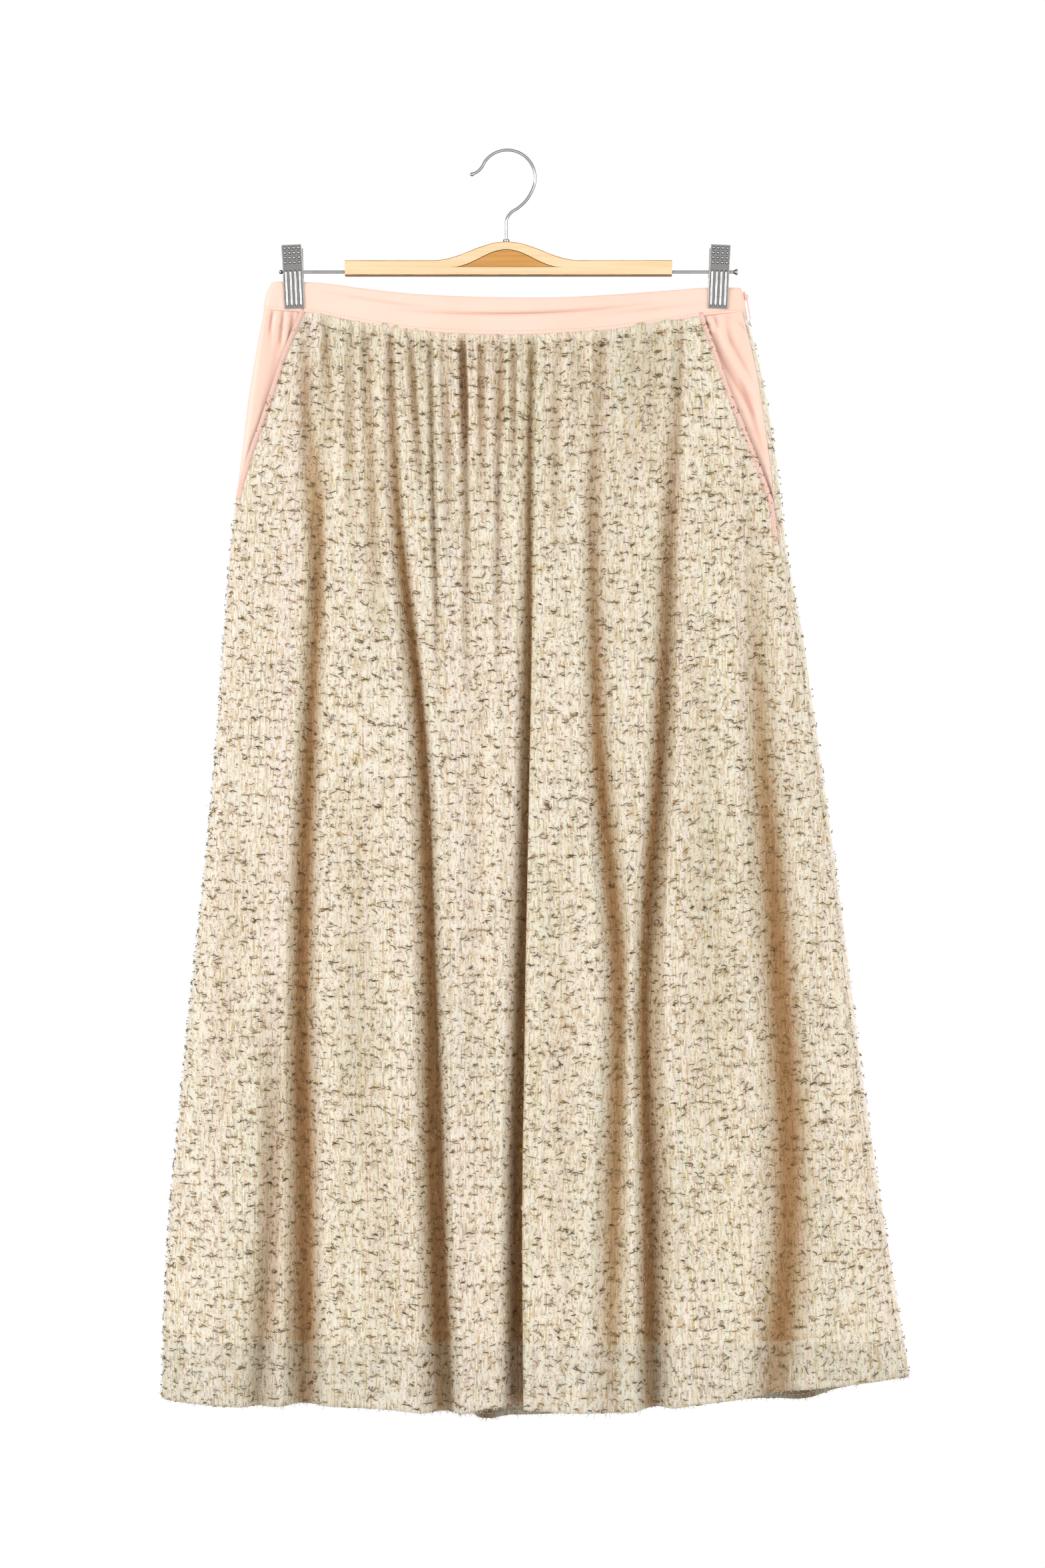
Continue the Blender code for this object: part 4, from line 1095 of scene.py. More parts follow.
def loose_threads(side, points, facing, seed, kind):
    """Short cut threads that lie along the cloth with their ends lifted a little. Every
    fourth one crosses another."""
    count = kind.count
    i, j, per_column, per_row, draw = places_on(points, count, seed + kind.seed)
    pairs = count // 4
    i[:pairs] = i[pairs : 2 * pairs] + draw.normal(0, 0.8, pairs) / per_row[:pairs]
    j[:pairs] = j[pairs : 2 * pairs] + draw.normal(0, 1.3, pairs) / per_column[:pairs]
    i = np.where(beside_left_pocket(at_grid(points, i, j)), i + 0.3 * len(points), i)
    share = np.linspace(-0.5, 0.5, kind.steps)[None, :]
    long = draw.uniform(*kind.length, count)[:, None] * draw.uniform(0.6, 1.0, (count, 1))
    turn = np.clip(draw.normal(0, 1.0, (count, 1)), -1.5, 1.5) * share * 2
    wave = draw.normal(0, 0.7, (count, 1)) * share**2 * 4
    angle = draw.normal(*kind.tilt, (count, 1)) + turn + wave
    step = long / (kind.steps - 1)
    a = np.cumsum(np.cos(angle) * step, axis=1)
    b = np.cumsum(np.sin(angle) * step, axis=1)
    a, b = a - a.mean(axis=1, keepdims=True), b - b.mean(axis=1, keepdims=True)
    i_at = i[:, None] + b / per_row[:, None]
    run = runs(points)
    centre = at_grid(run[..., None], i, j)
    rows, numbers = np.clip(i, 0, len(points) - 1).astype(int), np.arange(points.shape[1])
    j_at = np.array([np.interp(c + x, run[row], numbers) for c, x, row in zip(centre, a, rows)])
    lift = THREAD_LIFT + kind.thick * 0.5 + draw.uniform(0, LOOSE_LIFT, (count, 1))
    lift = lift + draw.uniform(0, END_LIFT, (count, 1)) * np.abs(share * 2) ** 2
    out = at_grid(facing, i_at, j_at)
    paths = at_grid(points, i_at, j_at) + out * lift[..., None]
    taper = 1 - 0.42 * np.abs(share * 2) ** 2
    radius = kind.thick / 2 * taper * draw.uniform(0.7, 1.15, (count, 1))
    return strands(f"{kind.name}_{side}", paths, out, radius, kind.material)


def raw_edges(points, side):
    """Places along the hem and the low part of both side edges, and which way a thread end
    sticks out there: a row, a column and an x, y, z each."""
    rows, columns = points.shape[:2]
    left, right = (columns - 1, 0) if side == "back" else (0, columns - 1)
    places = [(rows - 1, j, 0, 0, -1) for j in np.linspace(0, columns - 1, 400)]
    for edge, way in ((left, -1), (right, 1)):
        places += [(i, edge, way, 0, -0.3) for i in np.linspace(0.3 * rows, rows - 1, 200)]
    return np.array(places, float)


def fringe(side, points, facing, seed, kind):
    """Thread ends that stick out of a panel's raw edges."""
    draw = np.random.default_rng(seed + kind.seed)
    edges, count = raw_edges(points, side), kind.count
    edges = edges[draw.integers(0, len(edges), count)]
    start, out = (at_grid(grid, edges[:, 0], edges[:, 1]) for grid in (points, facing))
    away = unit(draw.normal(0, 0.5, (count, 3)) + edges[:, 2:5])
    long = draw.uniform(*kind.length, (count, 1))
    curl = draw.normal(0, FRINGE_CURL, (count, 3))
    share = np.linspace(0, 1, kind.steps)
    paths = np.stack([start + (away * s + curl * s * s) * long for s in share], axis=1)
    facing = np.repeat((out + curl * 0.1)[:, None], kind.steps, axis=1)
    radius = kind.thick / 2 * (1 - 0.6 * share)[None, :]
    return strands(f"{kind.name}_{side}", paths, facing, radius, kind.material)


def stitches(name, route, facing, long, gap, thick, material):
    """Sewing stitches along a line of points, each a short thread let into the cloth."""
    steps = np.linalg.norm(np.diff(route, axis=0), axis=1)
    run = np.concatenate([[0], np.cumsum(steps)])
    starts = np.arange(gap, run[-1] - long, long + gap)
    share = np.linspace(0, 1, 4)
    at = starts[:, None] + share[None, :] * long
    paths = np.stack([np.interp(at, run, route[:, k]) for k in range(3)], axis=-1)
    out = np.stack([np.interp(at, run, facing[:, k]) for k in range(3)], axis=-1)
    sunk = np.array([-0.15, 0.22, 0.22, -0.15])[None, :, None]
    return strands(name, paths + out * sunk, out, thick / 2, material)


def sew(name, line, out, thick, slot):
    """A row of the trims' own stitches."""
    look = bpy.context.scene.skirt_trim
    thread = material_called("pink sewing thread", pink_thread)
    row = stitches(name, line, out, look.stitch / MM, look.stitch_gap / MM, thick, thread)
    finish(row, slot=slot)


def finish(piece, *nodes, slot, body=BODY):
    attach(piece, body)
    if nodes:
        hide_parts(*nodes)
    return piece


# Sizes and colours that a user would change


def colour(name, description, value):
    return bpy.props.FloatVectorProperty(
        name=name, description=description, default=value, subtype="COLOR", min=0, max=1
    )


def length(name, description, value):
    return bpy.props.FloatProperty(
        name=name, description=description, default=value, min=0, unit="LENGTH", precision=4
    )


class SkirtCloth(bpy.types.PropertyGroup):
    ivory: colour("Ivory", "Main threads of the cloth", (0.625, 0.525, 0.40))
    pale_thread: colour("Pale thread", "Brightest upright threads", (0.78, 0.74, 0.64))
    grey_thread: colour("Grey thread", "Dark upright threads", (0.44, 0.385, 0.315))
    gold_thread: colour("Gold thread", "Metal threads woven in", (0.55, 0.42, 0.21))
    # Tan: the lining seen through the cloth, and painted shade in the troughs
    tan: colour("Tan", "Tint where the lining shows through", (0.46, 0.325, 0.155))
    # Painted shade at the bottom of the deep folds
    deep_fold_shade: colour("Deepest", "Tint at the bottom of the deep folds", (0.80, 0.56, 0.36))
    # Grey tint below the lining's edge, also used as painted shade in the troughs there and on the inner
    # face
    sheer_and_shade: colour("Sheer", "Tint below the lining's edge", (0.55, 0.52, 0.46))
    dark_thread: colour("Dark thread", "Cut threads", (0.105, 0.058, 0.022))
    olive_thread: colour("Olive thread", "Cut threads", (0.21, 0.145, 0.035))
    brown_thread: colour("Brown thread", "Cut threads", (0.30, 0.155, 0.05))
    lining: colour("Lining", "Lining", (0.72, 0.53, 0.34))
    between: colour("Between", "Gaps between the threads", (0.30, 0.24, 0.16))
    cool: colour("Cool", "Tint where the cloth stands off the lining", (0.84, 0.86, 0.80))
    thread_gap: length("Thread gap", "Distance between upright threads", 0.00115)
    thread_run: length("Thread run", "How far a thread keeps its colour", 0.011)
    dash: length("Dash", "Length of the dashes along a thread", 0.0019)
    # How much tan goes into the troughs: lining seen through, and painted shade
    tan_and_shade_in_troughs: bpy.props.FloatProperty(
        name="Tan in troughs", description="Lining seen in the folds' troughs", default=0.95, min=0
    )
    front_threads: bpy.props.IntProperty(
        name="Front threads", description="Cut threads on the front", default=7500, min=0
    )
    back_threads: bpy.props.IntProperty(
        name="Back threads", description="Cut threads on the back", default=4600, min=0
    )


class SkirtTrim(bpy.types.PropertyGroup):
    pink: colour("Pink", "Waistband and hip panels", (0.70, 0.49, 0.40))
    pink_shade: colour("Pink shade", "Faint clouds in the satin", (0.69, 0.465, 0.37))
    # Painted shade in the satin's folds and creases
    pink_fold_shade: colour("Pink fold", "Satin deep in a fold", (0.44, 0.21, 0.15))
    pink_line: colour("Pink line", "Seam lines and sewing thread", (0.62, 0.38, 0.31))
    pink_twill: colour("Pink twill", "Binding", (0.74, 0.49, 0.42))
    pink_metal: colour("Pink metal", "Zip slider and pull", (0.86, 0.45, 0.40))
    twill_gap: length("Twill gap", "Distance between the binding's ribs", 0.0013)
    stitch: length("Stitch", "Length of one stitch", 0.0022)
    stitch_gap: length("Stitch gap", "Distance between stitches", 0.0009)


class SkirtHanger(bpy.types.PropertyGroup):
    pale_wood: colour("Pale wood", "Bar", (0.655, 0.505, 0.32))
    grain: colour("Grain", "Bar's grain", (0.62, 0.445, 0.25))
    caramel: colour("Caramel", "Inlay", (0.49, 0.25, 0.075))
    caramel_grain: colour("Caramel grain", "Inlay's grain", (0.41, 0.195, 0.055))
    edge: colour("Edge", "Dark edges of the wood", (0.20, 0.09, 0.03))
    bevel: length("Bevel", "Rounding of the wood's edges", 0.0008)


class SkirtStage(bpy.types.PropertyGroup):
    camera_distance: length("Camera distance", "From the hanger to the camera", 3.0)
    view_height: length("View height", "Height of the frame at the hanger", 1.294)
    aim_x: bpy.props.FloatProperty(name="Aim X", description="Frame's middle", default=0.015)
    aim_z: bpy.props.FloatProperty(name="Aim Z", description="Frame's middle", default=-0.522)
    floor_drop: length("Floor drop", "Floor below the rail", 1.5)
    floor: colour("Floor", "Floor and surroundings", (0.9, 0.9, 0.9))


# Pieces


UNDER_BAND = -0.004  # the cloth is sewn in under the band
HEM_SHARE = HEM_ALLOWANCE / PANEL_LENGTH
HEM_THICKER = 0.7
PANEL_LEVELS = np.concatenate(
    [
        np.linspace(UNDER_BAND, 0.04, 9)[:-1],
        np.linspace(0.04, 1 - HEM_SHARE, 92)[:-1],
        np.linspace(1 - HEM_SHARE, 1, 5),
    ]
)
CLOTH_HALF = 0.3
EDGE_FADE, TOP_FADE = 14.0, 10.0  # how far from an edge the finer form is all there
DEEP_FOLD = 26.0  # a fold this deep is a full trough
NARROW_CREASE = 8.0
STRIP_FADE = 260.0  # from the waist to where the threads' spacing follows the surface
STRIPS_APART = 1000.0  # so that no two strips have the same thread pattern

# A panel: columns for each slot, and the seed of its unevenness
Panel = namedtuple("Panel", "side row slots columns anchors creases overhangs folds seed")
FRONT_PANEL = Panel(
    "front", front_row, FRONT_SLOTS, 8, FRONT_ANCHORS, FRONT_CREASES, FRONT_OVERHANGS,
    FRONT_FOLDS, 11,
)
BACK_PANEL = Panel(
    "back", back_row, BACK_SLOTS, 11, BACK_ANCHORS, BACK_CREASES, (), BACK_FOLDS, 23
)


def thread_strips(points, panel):
    """Place across the cloth at both sides of each column of faces. Between two main folds
    the threads run side by side, parallel to the ridge there, and end in the troughs."""
    last = points.shape[1] - 1
    shares = np.array([anchor.slot / panel.slots for anchor in panel.anchors])
    if panel.side == "back":
        shares = BACK_TURN + (1 - BACK_TURN) * (1 - shares[::-1])
    ends = [0, *np.round(shares * last).astype(int), last]
    even = points.copy()
    smooth = mean_across(points[..., 1], 12)
    middle, half = sides(-points[..., 2], 0)
    inside = half - np.abs(points[..., 0] - middle)
    even[..., 1] = mix(points[..., 1], smooth, ease((inside - EDGE_FADE) / EDGE_FADE))
    below = (-points[..., 2] - WAIST_DROP) / STRIP_FADE
    run = mix(runs(even), runs(points), ease(below))
    strips = np.empty((len(points), last, 2))
    for k, (low, high) in enumerate(zip(ends, ends[1:])):
        ridge = int(mix(low, high, 0.5 if 0 < k < len(ends) - 2 else (0.25 if k else 0.75)))
        own = run[:, low : high + 1] - run[:, ridge, None] + STRIPS_APART * (k + 1)
        strips[:, low:high, 0], strips[:, low:high, 1] = own[:, :-1], own[:, 1:]
    return strips


def cloth_panel(panel):
    """The fine shell of a panel. It comes back with its middle surface and normals."""
    levels, columns = PANEL_LEVELS, panel.slots * panel.columns + 1
    points = grid_of(panel.row, levels, np.linspace(0, 1, columns))
    depth = creased(points, panel.creases)
    uneven = smooth_noise(panel.seed, len(levels), columns, 9, 5) * RIPPLE
    uneven = uneven + smooth_noise(panel.seed + 1, len(levels), columns, 28, 14) * 2 * RIPPLE
    run = runs(points)
    edge = np.minimum(run, run[:, -1:] - run)
    fade = ease(edge / EDGE_FADE) * ease(levels * PANEL_LENGTH / TOP_FADE)[:, None]
    facing = normals(points)
    points = points + facing * ((uneven - depth) * fade)[..., None]
    points = leaned(points, panel.overhangs, panel.folds)
    facing = normals(points)
    # trough: where the cloth gets its tan and darker tints, painted shade in the main folds, the hollows
    # and the narrow creases
    deep = fold_depth(panel.folds, points[..., 0], -points[..., 2]) / DEEP_FOLD
    low = cavity(points, facing, 8) / 4.5 + cavity(points, facing, 3) / 1.6
    narrow = [crease for crease in panel.creases if crease.width < NARROW_CREASE]
    small = 0.42 * low + 0.15 * creased(points, narrow)
    trough = 0.9 * np.clip(deep, 0, 1) ** 0.75 + small * ease(edge / 20)
    trough = mean_across(np.clip(trough, 0, 1), 3)
    hem = np.where(levels > 1 - HEM_SHARE, HEM_THICKER, 0.0)[:, None]
    woven = material_called("flecked cloth", flecked_cloth)
    made = shell(
        f"cloth_{panel.side}", points, CLOTH_HALF, CLOTH_HALF + hem, woven,
        run, -points[..., 2], {"trough": trough}, thread_strips(points, panel),
    )
    finish(made, f"{panel.side}_panel", slot="flecked_cloth")
    return made, points, facing


panel_forms = {}  # the middle surface and normals of each panel, for what lies on it


class SKIRT_OT_cloth(bpy.types.Operator):
    """Make the gathered front and back of the skirt"""

    bl_idname = "skirt.cloth"
    bl_label = "Cloth"

    def execute(self, context):
        front, *panel_forms["front"] = cloth_panel(FRONT_PANEL)
        back, *panel_forms["back"] = cloth_panel(BACK_PANEL)
        return {"FINISHED"}


SEAM_STRIP, SEAM_UNDER = 10.0, 0.75


def seam_row(share, down, outer):
    """One level of the seam allowance that lies under a side seam. On the left it goes
    round the outline from the back to the front."""
    off = (share - 0.5) * SEAM_STRIP
    beside_pocket = 1 - ease((down - POCKET_ENDS["left" if outer < 0 else "right"]) / 0.02)
    off = np.where(off * outer < 0, off * mix(1, 0.06, beside_pocket), off)
    half = half_at(down)
    if outer < 0:
        low = end_radius(mix(WAIST_DROP, HEM_DROP, down))
        across = -1 + low * (1 - np.cos(off / low)) / half
        round_ = np.where(off > 0, across, 2 - across)
    else:
        across = round_ = np.minimum(seam_across(down, outer) + off / half, 0.9995)
    drop = panel_drop(across, down)
    return tube(round_, drop, CLOTH / 2 + SEAM_UNDER, below_band(across, drop), -SEAM_UNDER)


class SKIRT_OT_seams(bpy.types.Operator):
    """Make the seam allowances inside the two side seams"""

    bl_idname = "skirt.seams"
    bl_label = "Side seams"

    def execute(self, context):
        woven = material_called("flecked cloth", flecked_cloth)
        levels = np.linspace(UNDER_BAND, 1, 60)
        for name, outer in (("left", -1), ("right", 1)):
            points = grid_of(seam_row, levels, np.linspace(0, 1, 11), outer)
            across = np.linspace(0, SEAM_STRIP, 11)[None, :] + 2 * STRIPS_APART
            made = shell(f"side_seam_{name}", points, 0.25, 0.25, woven, across, -points[..., 2])
            finish(made, slot="flecked_cloth")
        return {"FINISHED"}


HEM_THREADS_FROM, HEM_THREADS_BEHIND = 0.94, 1.4  # share of the levels, and mm
SEWN_ROW, HEM_STITCHES_BEHIND = -2, 1.05  # the level where the turned hem is sewn, and mm


class SKIRT_OT_threads(bpy.types.Operator):
    """Scatter the cut dark threads and the gold and pale ends over the cloth"""

    bl_idname = "skirt.threads"
    bl_label = "Cut threads"

    def execute(self, context):
        look = context.scene.skirt_cloth
        dark = material_called("dark cut threads", dark_threads)
        gold = material_called("gold threads", gold_threads)
        pale = material_called("pale threads", pale_threads)
        for side, count, steps, knots, seed in (
            ("front", look.front_threads, 5, 1.6, 31),
            ("back", look.back_threads, 4, 0.9, 57),
        ):
            points, facing = panel_forms[side]
            low = slice(int(HEM_THREADS_FROM * len(points)), None)
            behind = points[low] - facing[low] * HEM_THREADS_BEHIND
            long = ThreadKind("cut_threads", count, 0, (3.5, 8.2), 0.88, dark, steps)
            knot = ThreadKind("knots", int(count * knots), 1, (1.4, 4.0), 0.8, dark, 3, (0, 0.9))
            gilt = ThreadKind("gold_ends", count // 4, 2, (1.2, 3.6), 0.45, gold, 2, (1.5, 0.5))
            end = ThreadKind("pale_ends", count // 8, 3, (2.0, 7.0), 0.4, pale, 3, (1.2, 0.8))
            hem = ThreadKind("hem_threads", 420, 5, (3.2, 7.0), 0.8, dark, 5)
            kinds = (long, knot, gilt, end)
            made = [loose_threads(side, points, facing, seed, kind) for kind in kinds]
            made.append(loose_threads(side, behind, -facing[low], seed, hem))
            out = -facing[SEWN_ROW]
            line = points[SEWN_ROW] + out * HEM_STITCHES_BEHIND
            made.append(stitches(f"hem_stitches_{side}", line, out, 2.6, 1.8, 0.5, pale))
            for kind in (
                ThreadKind("dark_fringe", 700, 4, (0.7, 3.0), 0.32, dark),
                ThreadKind("pale_fringe", 420, 6, (0.7, 3.2), 0.32, pale),
            ):
                made.append(fringe(side, points, facing, seed, kind))
            for piece in made:
                finish(piece, slot="flecked_cloth")
        return {"FINISHED"}


# A soft crease along the band: its level, where its middle is and how far it goes each way
BandLine = namedtuple("BandLine", "level at reach width depth slant")
BAND_LINES = {
    "front": (
        BandLine(0.42, 215, 135, 0.05, 1.7, -0.0006),
        BandLine(0.30, 95, 70, 0.05, 0.6, 0.0007),
        BandLine(0.55, 320, 60, 0.06, 0.6, 0.0004),
    ),
    "back": (
        BandLine(0.45, 150, 110, 0.055, 1.0, 0.0005),
        BandLine(0.36, 290, 70, 0.05, 0.8, -0.0006),
    ),
}


def band_bend(lines, levels, run):
    """How deep the soft creases along a waistband half are."""
    bend = 0
    for line in lines:
        off = levels[:, None] - line.level - line.slant * (run - line.at)
        fade = np.cos(np.clip((run - line.at) / line.reach, -1, 1) * math.pi / 2) ** 2
        bend = bend + line.depth * np.exp(-((off / line.width) ** 2)) * fade
    return bend


class SKIRT_OT_waistband(bpy.types.Operator):
    """Make the satin waistband and its topstitching"""

    bl_idname = "skirt.waistband"
    bl_label = "Waistband"

    def execute(self, context):
        satin = material_called("pink satin", pink_satin)
        levels, shares = np.linspace(0, 1, 20), np.linspace(0, 1, 141)
        for side, name in ((-1, "front"), (1, "back")):
            points = grid_of(band_row, levels, shares, side)
            facing = normals(points)
            pucker = smooth_noise(5 + side, 20, 141, 5, 3) * 0.4 * (levels**1.5)[:, None]
            wave = smooth_noise(9 + side, 20, 141, 7, 10) * 0.45
            uneven = (pucker + wave) * ease(np.minimum(shares, 1 - shares) * 25)
            points = points + facing * uneven[..., None]
            facing = normals(points)
            run = runs(points)
            bend = band_bend(BAND_LINES[name], levels, run)
            points = points - facing * bend[..., None]
            rounding = np.sqrt(1 - np.abs(2 * levels - 1) ** 9)  # of the upper and lower edge
            thick = np.maximum(BAND / 2 * rounding, 0.5)[:, None]
            # The fold attribute paints shade into the band's creases
            band = shell(
                f"satin_band_{name}", points, thick, thick, satin, run, -points[..., 2],
                {"fold": np.clip(bend * 0.45, 0, 1)},
            )
            finish(band, f"waistband_{name}", slot="pink_satin")
            line = points[-3] + facing[-3] * (thick[-3] + 0.05)
            sew(f"band_stitches_{name}", line, facing[-3], 0.24, "pink_satin")
        return {"FINISHED"}


LEFT_HIP_CREASES = (
    Crease(-195, 129, -199, 150, 1.8, -1.3),
    Crease(-191, 131, -194, 152, 1.5, 1.2),
    Crease(-187, 131, -190, 162, 1.9, -1.7),
    Crease(-182.5, 132, -185, 160, 1.5, 1.5),
    Crease(-179, 132, -181, 164, 1.8, -1.7),
    Crease(-175, 133, -178, 178, 1.9, 1.7),
    Crease(-199, 150, -208, 236, 5.0, -1.4),
    Crease(-186, 156, -203, 250, 3.6, 1.3),
)
RIGHT_HIP_CREASES = (
    Crease(169, 135, 171, 150, 1.5, -1.2),
    Crease(173, 135, 177, 158, 1.5, 1.1),
    Crease(178, 134, 184, 164, 1.9, -1.3),
    Crease(172, 141, 212, 212, 3.6, -2.8),
    Crease(166, 149, 208, 222, 3.2, 1.9),
    Crease(187, 134, 199, 146, 2.0, -1.4),
    Crease(189, 136, 201, 150, 1.6, 1.1),
    Crease(206, 190, 219, 250, 3.6, -1.3),
    Crease(196, 190, 214, 252, 3.2, 1.3),
)


HIP_WIDTH, LINING_WIDTH = 45.0, 560.0  # of the UV maps


class SKIRT_OT_pockets(bpy.types.Operator):
    """Make the satin hip panels and the twill binding of the pocket mouths"""

    bl_idname = "skirt.pockets"
    bl_label = "Pockets"

    def execute(self, context):
        satin = material_called("pink satin", pink_satin)
        twill = material_called("pink twill", pink_twill)
        for side, pocket, outer, creases in (
            ("left", POCKET_LEFT, -1, LEFT_HIP_CREASES),
            ("right", POCKET_RIGHT, 1, RIGHT_HIP_CREASES),
        ):
            levels = np.linspace(UNDER_BAND, POCKET_ENDS[side] - 0.006, 64)
            shares = np.linspace(0, 1, 33)
            made = [hip_row(shares, down, pocket, outer) for down in levels]
            points = np.stack([level[0] for level in made])
            sink = np.stack([level[1] for level in made])
            facing = normals(points)
            soft = creased(points, creases) * ease(np.minimum(shares, 1 - shares) * 8)
            soft = np.where(soft > 0, soft * (1 - 0.75 * ease(sink / 2.4)), soft)
            points = points - facing * (sink + soft * ease(levels * 400)[:, None])[..., None]
            # Painted shade: the fold attribute darkens the satin in its hollows and creases
            low = cavity(points, normals(points), 3) / 1.1 + np.maximum(soft, 0) * 0.34
            panel = shell(
                f"satin_hip_{side}", points, 0.4, 0.4, satin, shares[None, :] * HIP_WIDTH,
                -points[..., 2], {"fold": np.clip(low, 0, 0.75)},
            )
            finish(panel, f"hip_panel_{side}", slot="pink_satin")
            edge = grid_of(binding_row, levels, np.linspace(0, 1, 9), pocket, outer)
            proud = 0.38 + 1.05 * np.sqrt(1 - (np.linspace(-1, 1, 9) * 0.96) ** 2)[None, :]
            trim = shell(
                f"twill_binding_{side}", edge, proud, -0.36, twill,
                np.linspace(0, BINDING_WIDTH, 9)[None, :], -edge[..., 2],
            )
            finish(trim, f"pocket_binding_{side}", slot="pink_binding")
            sewn_at = 6 if outer < 0 else 2  # three quarters of the way from the mouth
            out = normals(edge)[:, sewn_at]
            line = edge[:, sewn_at] + out * proud[0, sewn_at]
            sew(f"binding_stitches_{side}", line, out, 0.28, "pink_binding")
        return {"FINISHED"}


class SKIRT_OT_lining(bpy.types.Operator):
    """Make the two halves of the lining"""

    bl_idname = "skirt.lining"
    bl_label = "Lining"

    def execute(self, context):
        thin = material_called("tan lining", tan_lining)
        levels = np.concatenate([np.linspace(0, 0.05, 6)[:-1], np.linspace(0.05, 1, 42)])
        shares = np.linspace(0, 1, 97)
        for side, name in ((-1, "front"), (1, "back")):
            points = grid_of(lining_row, levels, shares, side)
            wave = smooth_noise(41 + side, len(levels), 97, 24, 6) * 1.1
            fade = ease(np.minimum(shares, 1 - shares) * 9) * ease((levels - 0.04) * 4)[:, None]
            points = points + normals(points) * (wave * fade)[..., None]
            made = shell(
                f"lining_cloth_{name}", points, 0.3, 0.3, thin, shares[None, :] * LINING_WIDTH,
                -points[..., 2],
            )
            finish(made, f"lining_{name}", slot="tan_lining")
        return {"FINISHED"}


def deselect():
    bpy.ops.object.select_all(action="DESELECT")


def use_only(obj):
    deselect()
    obj.select_set(True)
    bpy.context.view_layer.objects.active = obj


def edit_all():
    """Edit mode with the whole mesh selected."""
    bpy.ops.object.mode_set(mode="EDIT")
    bpy.ops.mesh.select_all(action="SELECT")


def leave_edit():
    bpy.ops.object.mode_set(mode="OBJECT")


def settle():
    """Puts the place, turn and scale of what is selected into its mesh."""
    bpy.ops.object.transform_apply(location=True, rotation=True, scale=True)


def bevelled(made, width, segments, angle):
    """Rounds the edges that turn by more than an angle in degrees."""
    bevel = made.modifiers.new("Bevel", "BEVEL")
    bevel.width = width
    bevel.segments = segments
    bevel.limit_method = "ANGLE"
    bevel.angle_limit = math.radians(angle)
    bpy.ops.object.modifier_apply(modifier=bevel.name)


def smoothed(angle):
    bpy.ops.object.shade_smooth_by_angle(angle=math.radians(angle))


def coated(made, material):
    """Gives a piece its one material."""
    made.data.materials.clear()
    made.data.materials.append(material)
    return made


def joined(pieces, name, material):
    deselect()
    for piece in pieces:
        piece.select_set(True)
    bpy.context.view_layer.objects.active = pieces[0]
    bpy.ops.object.join()
    made = bpy.context.view_layer.objects.active
    made.name = name
    settle()
    return coated(made, material)


def rounded_copy(node, name, width, material, segments=3):
    """A node's own form, with its loose triangles merged and its edges rounded."""
    made = linked(name, bpy.data.objects[node].data.copy())
    use_only(made)
    edit_all()
    bpy.ops.mesh.remove_doubles(threshold=0.00001)
    bpy.ops.mesh.dissolve_limited(angle_limit=math.radians(1.5))
    leave_edit()
    bevelled(made, width, segments, 28)
    smoothed(35)
    return coated(made, material)


def wire_mesh(name, points, radii, material, around):
    """A round wire along millimetre points, made a mesh. around sets how many faces it has
    round it."""
    curve = bpy.data.curves.new(name, "CURVE")
    curve.dimensions = "3D"
    curve.bevel_depth = MM
    curve.bevel_resolution = around
    curve.use_fill_caps = True
    spline = curve.splines.new("POLY")
    spline.points.add(len(points) - 1)
    for place, point, radius in zip(spline.points, points, radii):
        place.co = (*(v * MM for v in point), 1)
        place.radius = radius
    made = linked(name, curve)
    use_only(made)
    bpy.ops.object.convert(target="MESH")
    edit_all()
    bpy.ops.mesh.remove_doubles(threshold=0.000005)
    bpy.ops.mesh.normals_make_consistent(inside=False)
    leave_edit()
    smoothed(50)
    return coated(made, material)


WIRE, BALL, RAIL_RADIUS = 2.3, 1.65, 23.0
HOOK_CENTRE_X = 2.5
HOOK_ARC = (158.0, -30.0)
HOOK_TIP = ((-28.0, -19.8), (-25.6, -18.4), (-22.3, -16.8))
HOOK_NECK = (
    *((18.0, -40.4), (11.5, -46.5), (5.0, -51.0)),
    *((2.0, -56.0), (1.7, -62.0), (1.7, -72.3)),
)
BALL_STATIONS = (0, 0.06, 0.25, 0.6, 1.0, 1.5, 1.8, 2.6)
ROD_DROP = 99.5


def hook_route():
    """Points of the hook from its tip, and the wire's radius at each of them."""
    arc = np.radians(np.linspace(*HOOK_ARC, 12))
    over_x = HOOK_CENTRE_X + RAIL_RADIUS * np.cos(arc)
    over_z = WIRE / 2 - RAIL_RADIUS + RAIL_RADIUS * np.sin(arc)
    route = np.array([*HOOK_TIP, *zip(over_x, over_z), *HOOK_NECK], float)
    length = np.concatenate([[0], np.cumsum(np.linalg.norm(np.diff(route, axis=0), axis=1))])
    tip = BALL * np.array(BALL_STATIONS)
    at = np.concatenate([tip[:-1], np.linspace(tip[-1], length[-1], 110)])
    x, z = (curve_through(at, length, route[:, k]) for k in (0, 1))
    swelling = np.sqrt(np.maximum(BALL**2 - (at - BALL) ** 2, 0))
    radius = np.maximum(swelling, np.where(at > BALL, WIRE / 2, 0.2))
    return np.stack([x, np.zeros_like(x), z], axis=1), radius


BAR_ENDS, BAR_TOP, BAR_BOTTOM, BAR_HALF = (-131.5, 138.3), 90.5, 102.6, 5.5
HUMP_CENTRE, HUMP_HALF, HUMP_HEIGHT = 1.7, 60.0, 15.3
LINE_RADIUS = 0.4


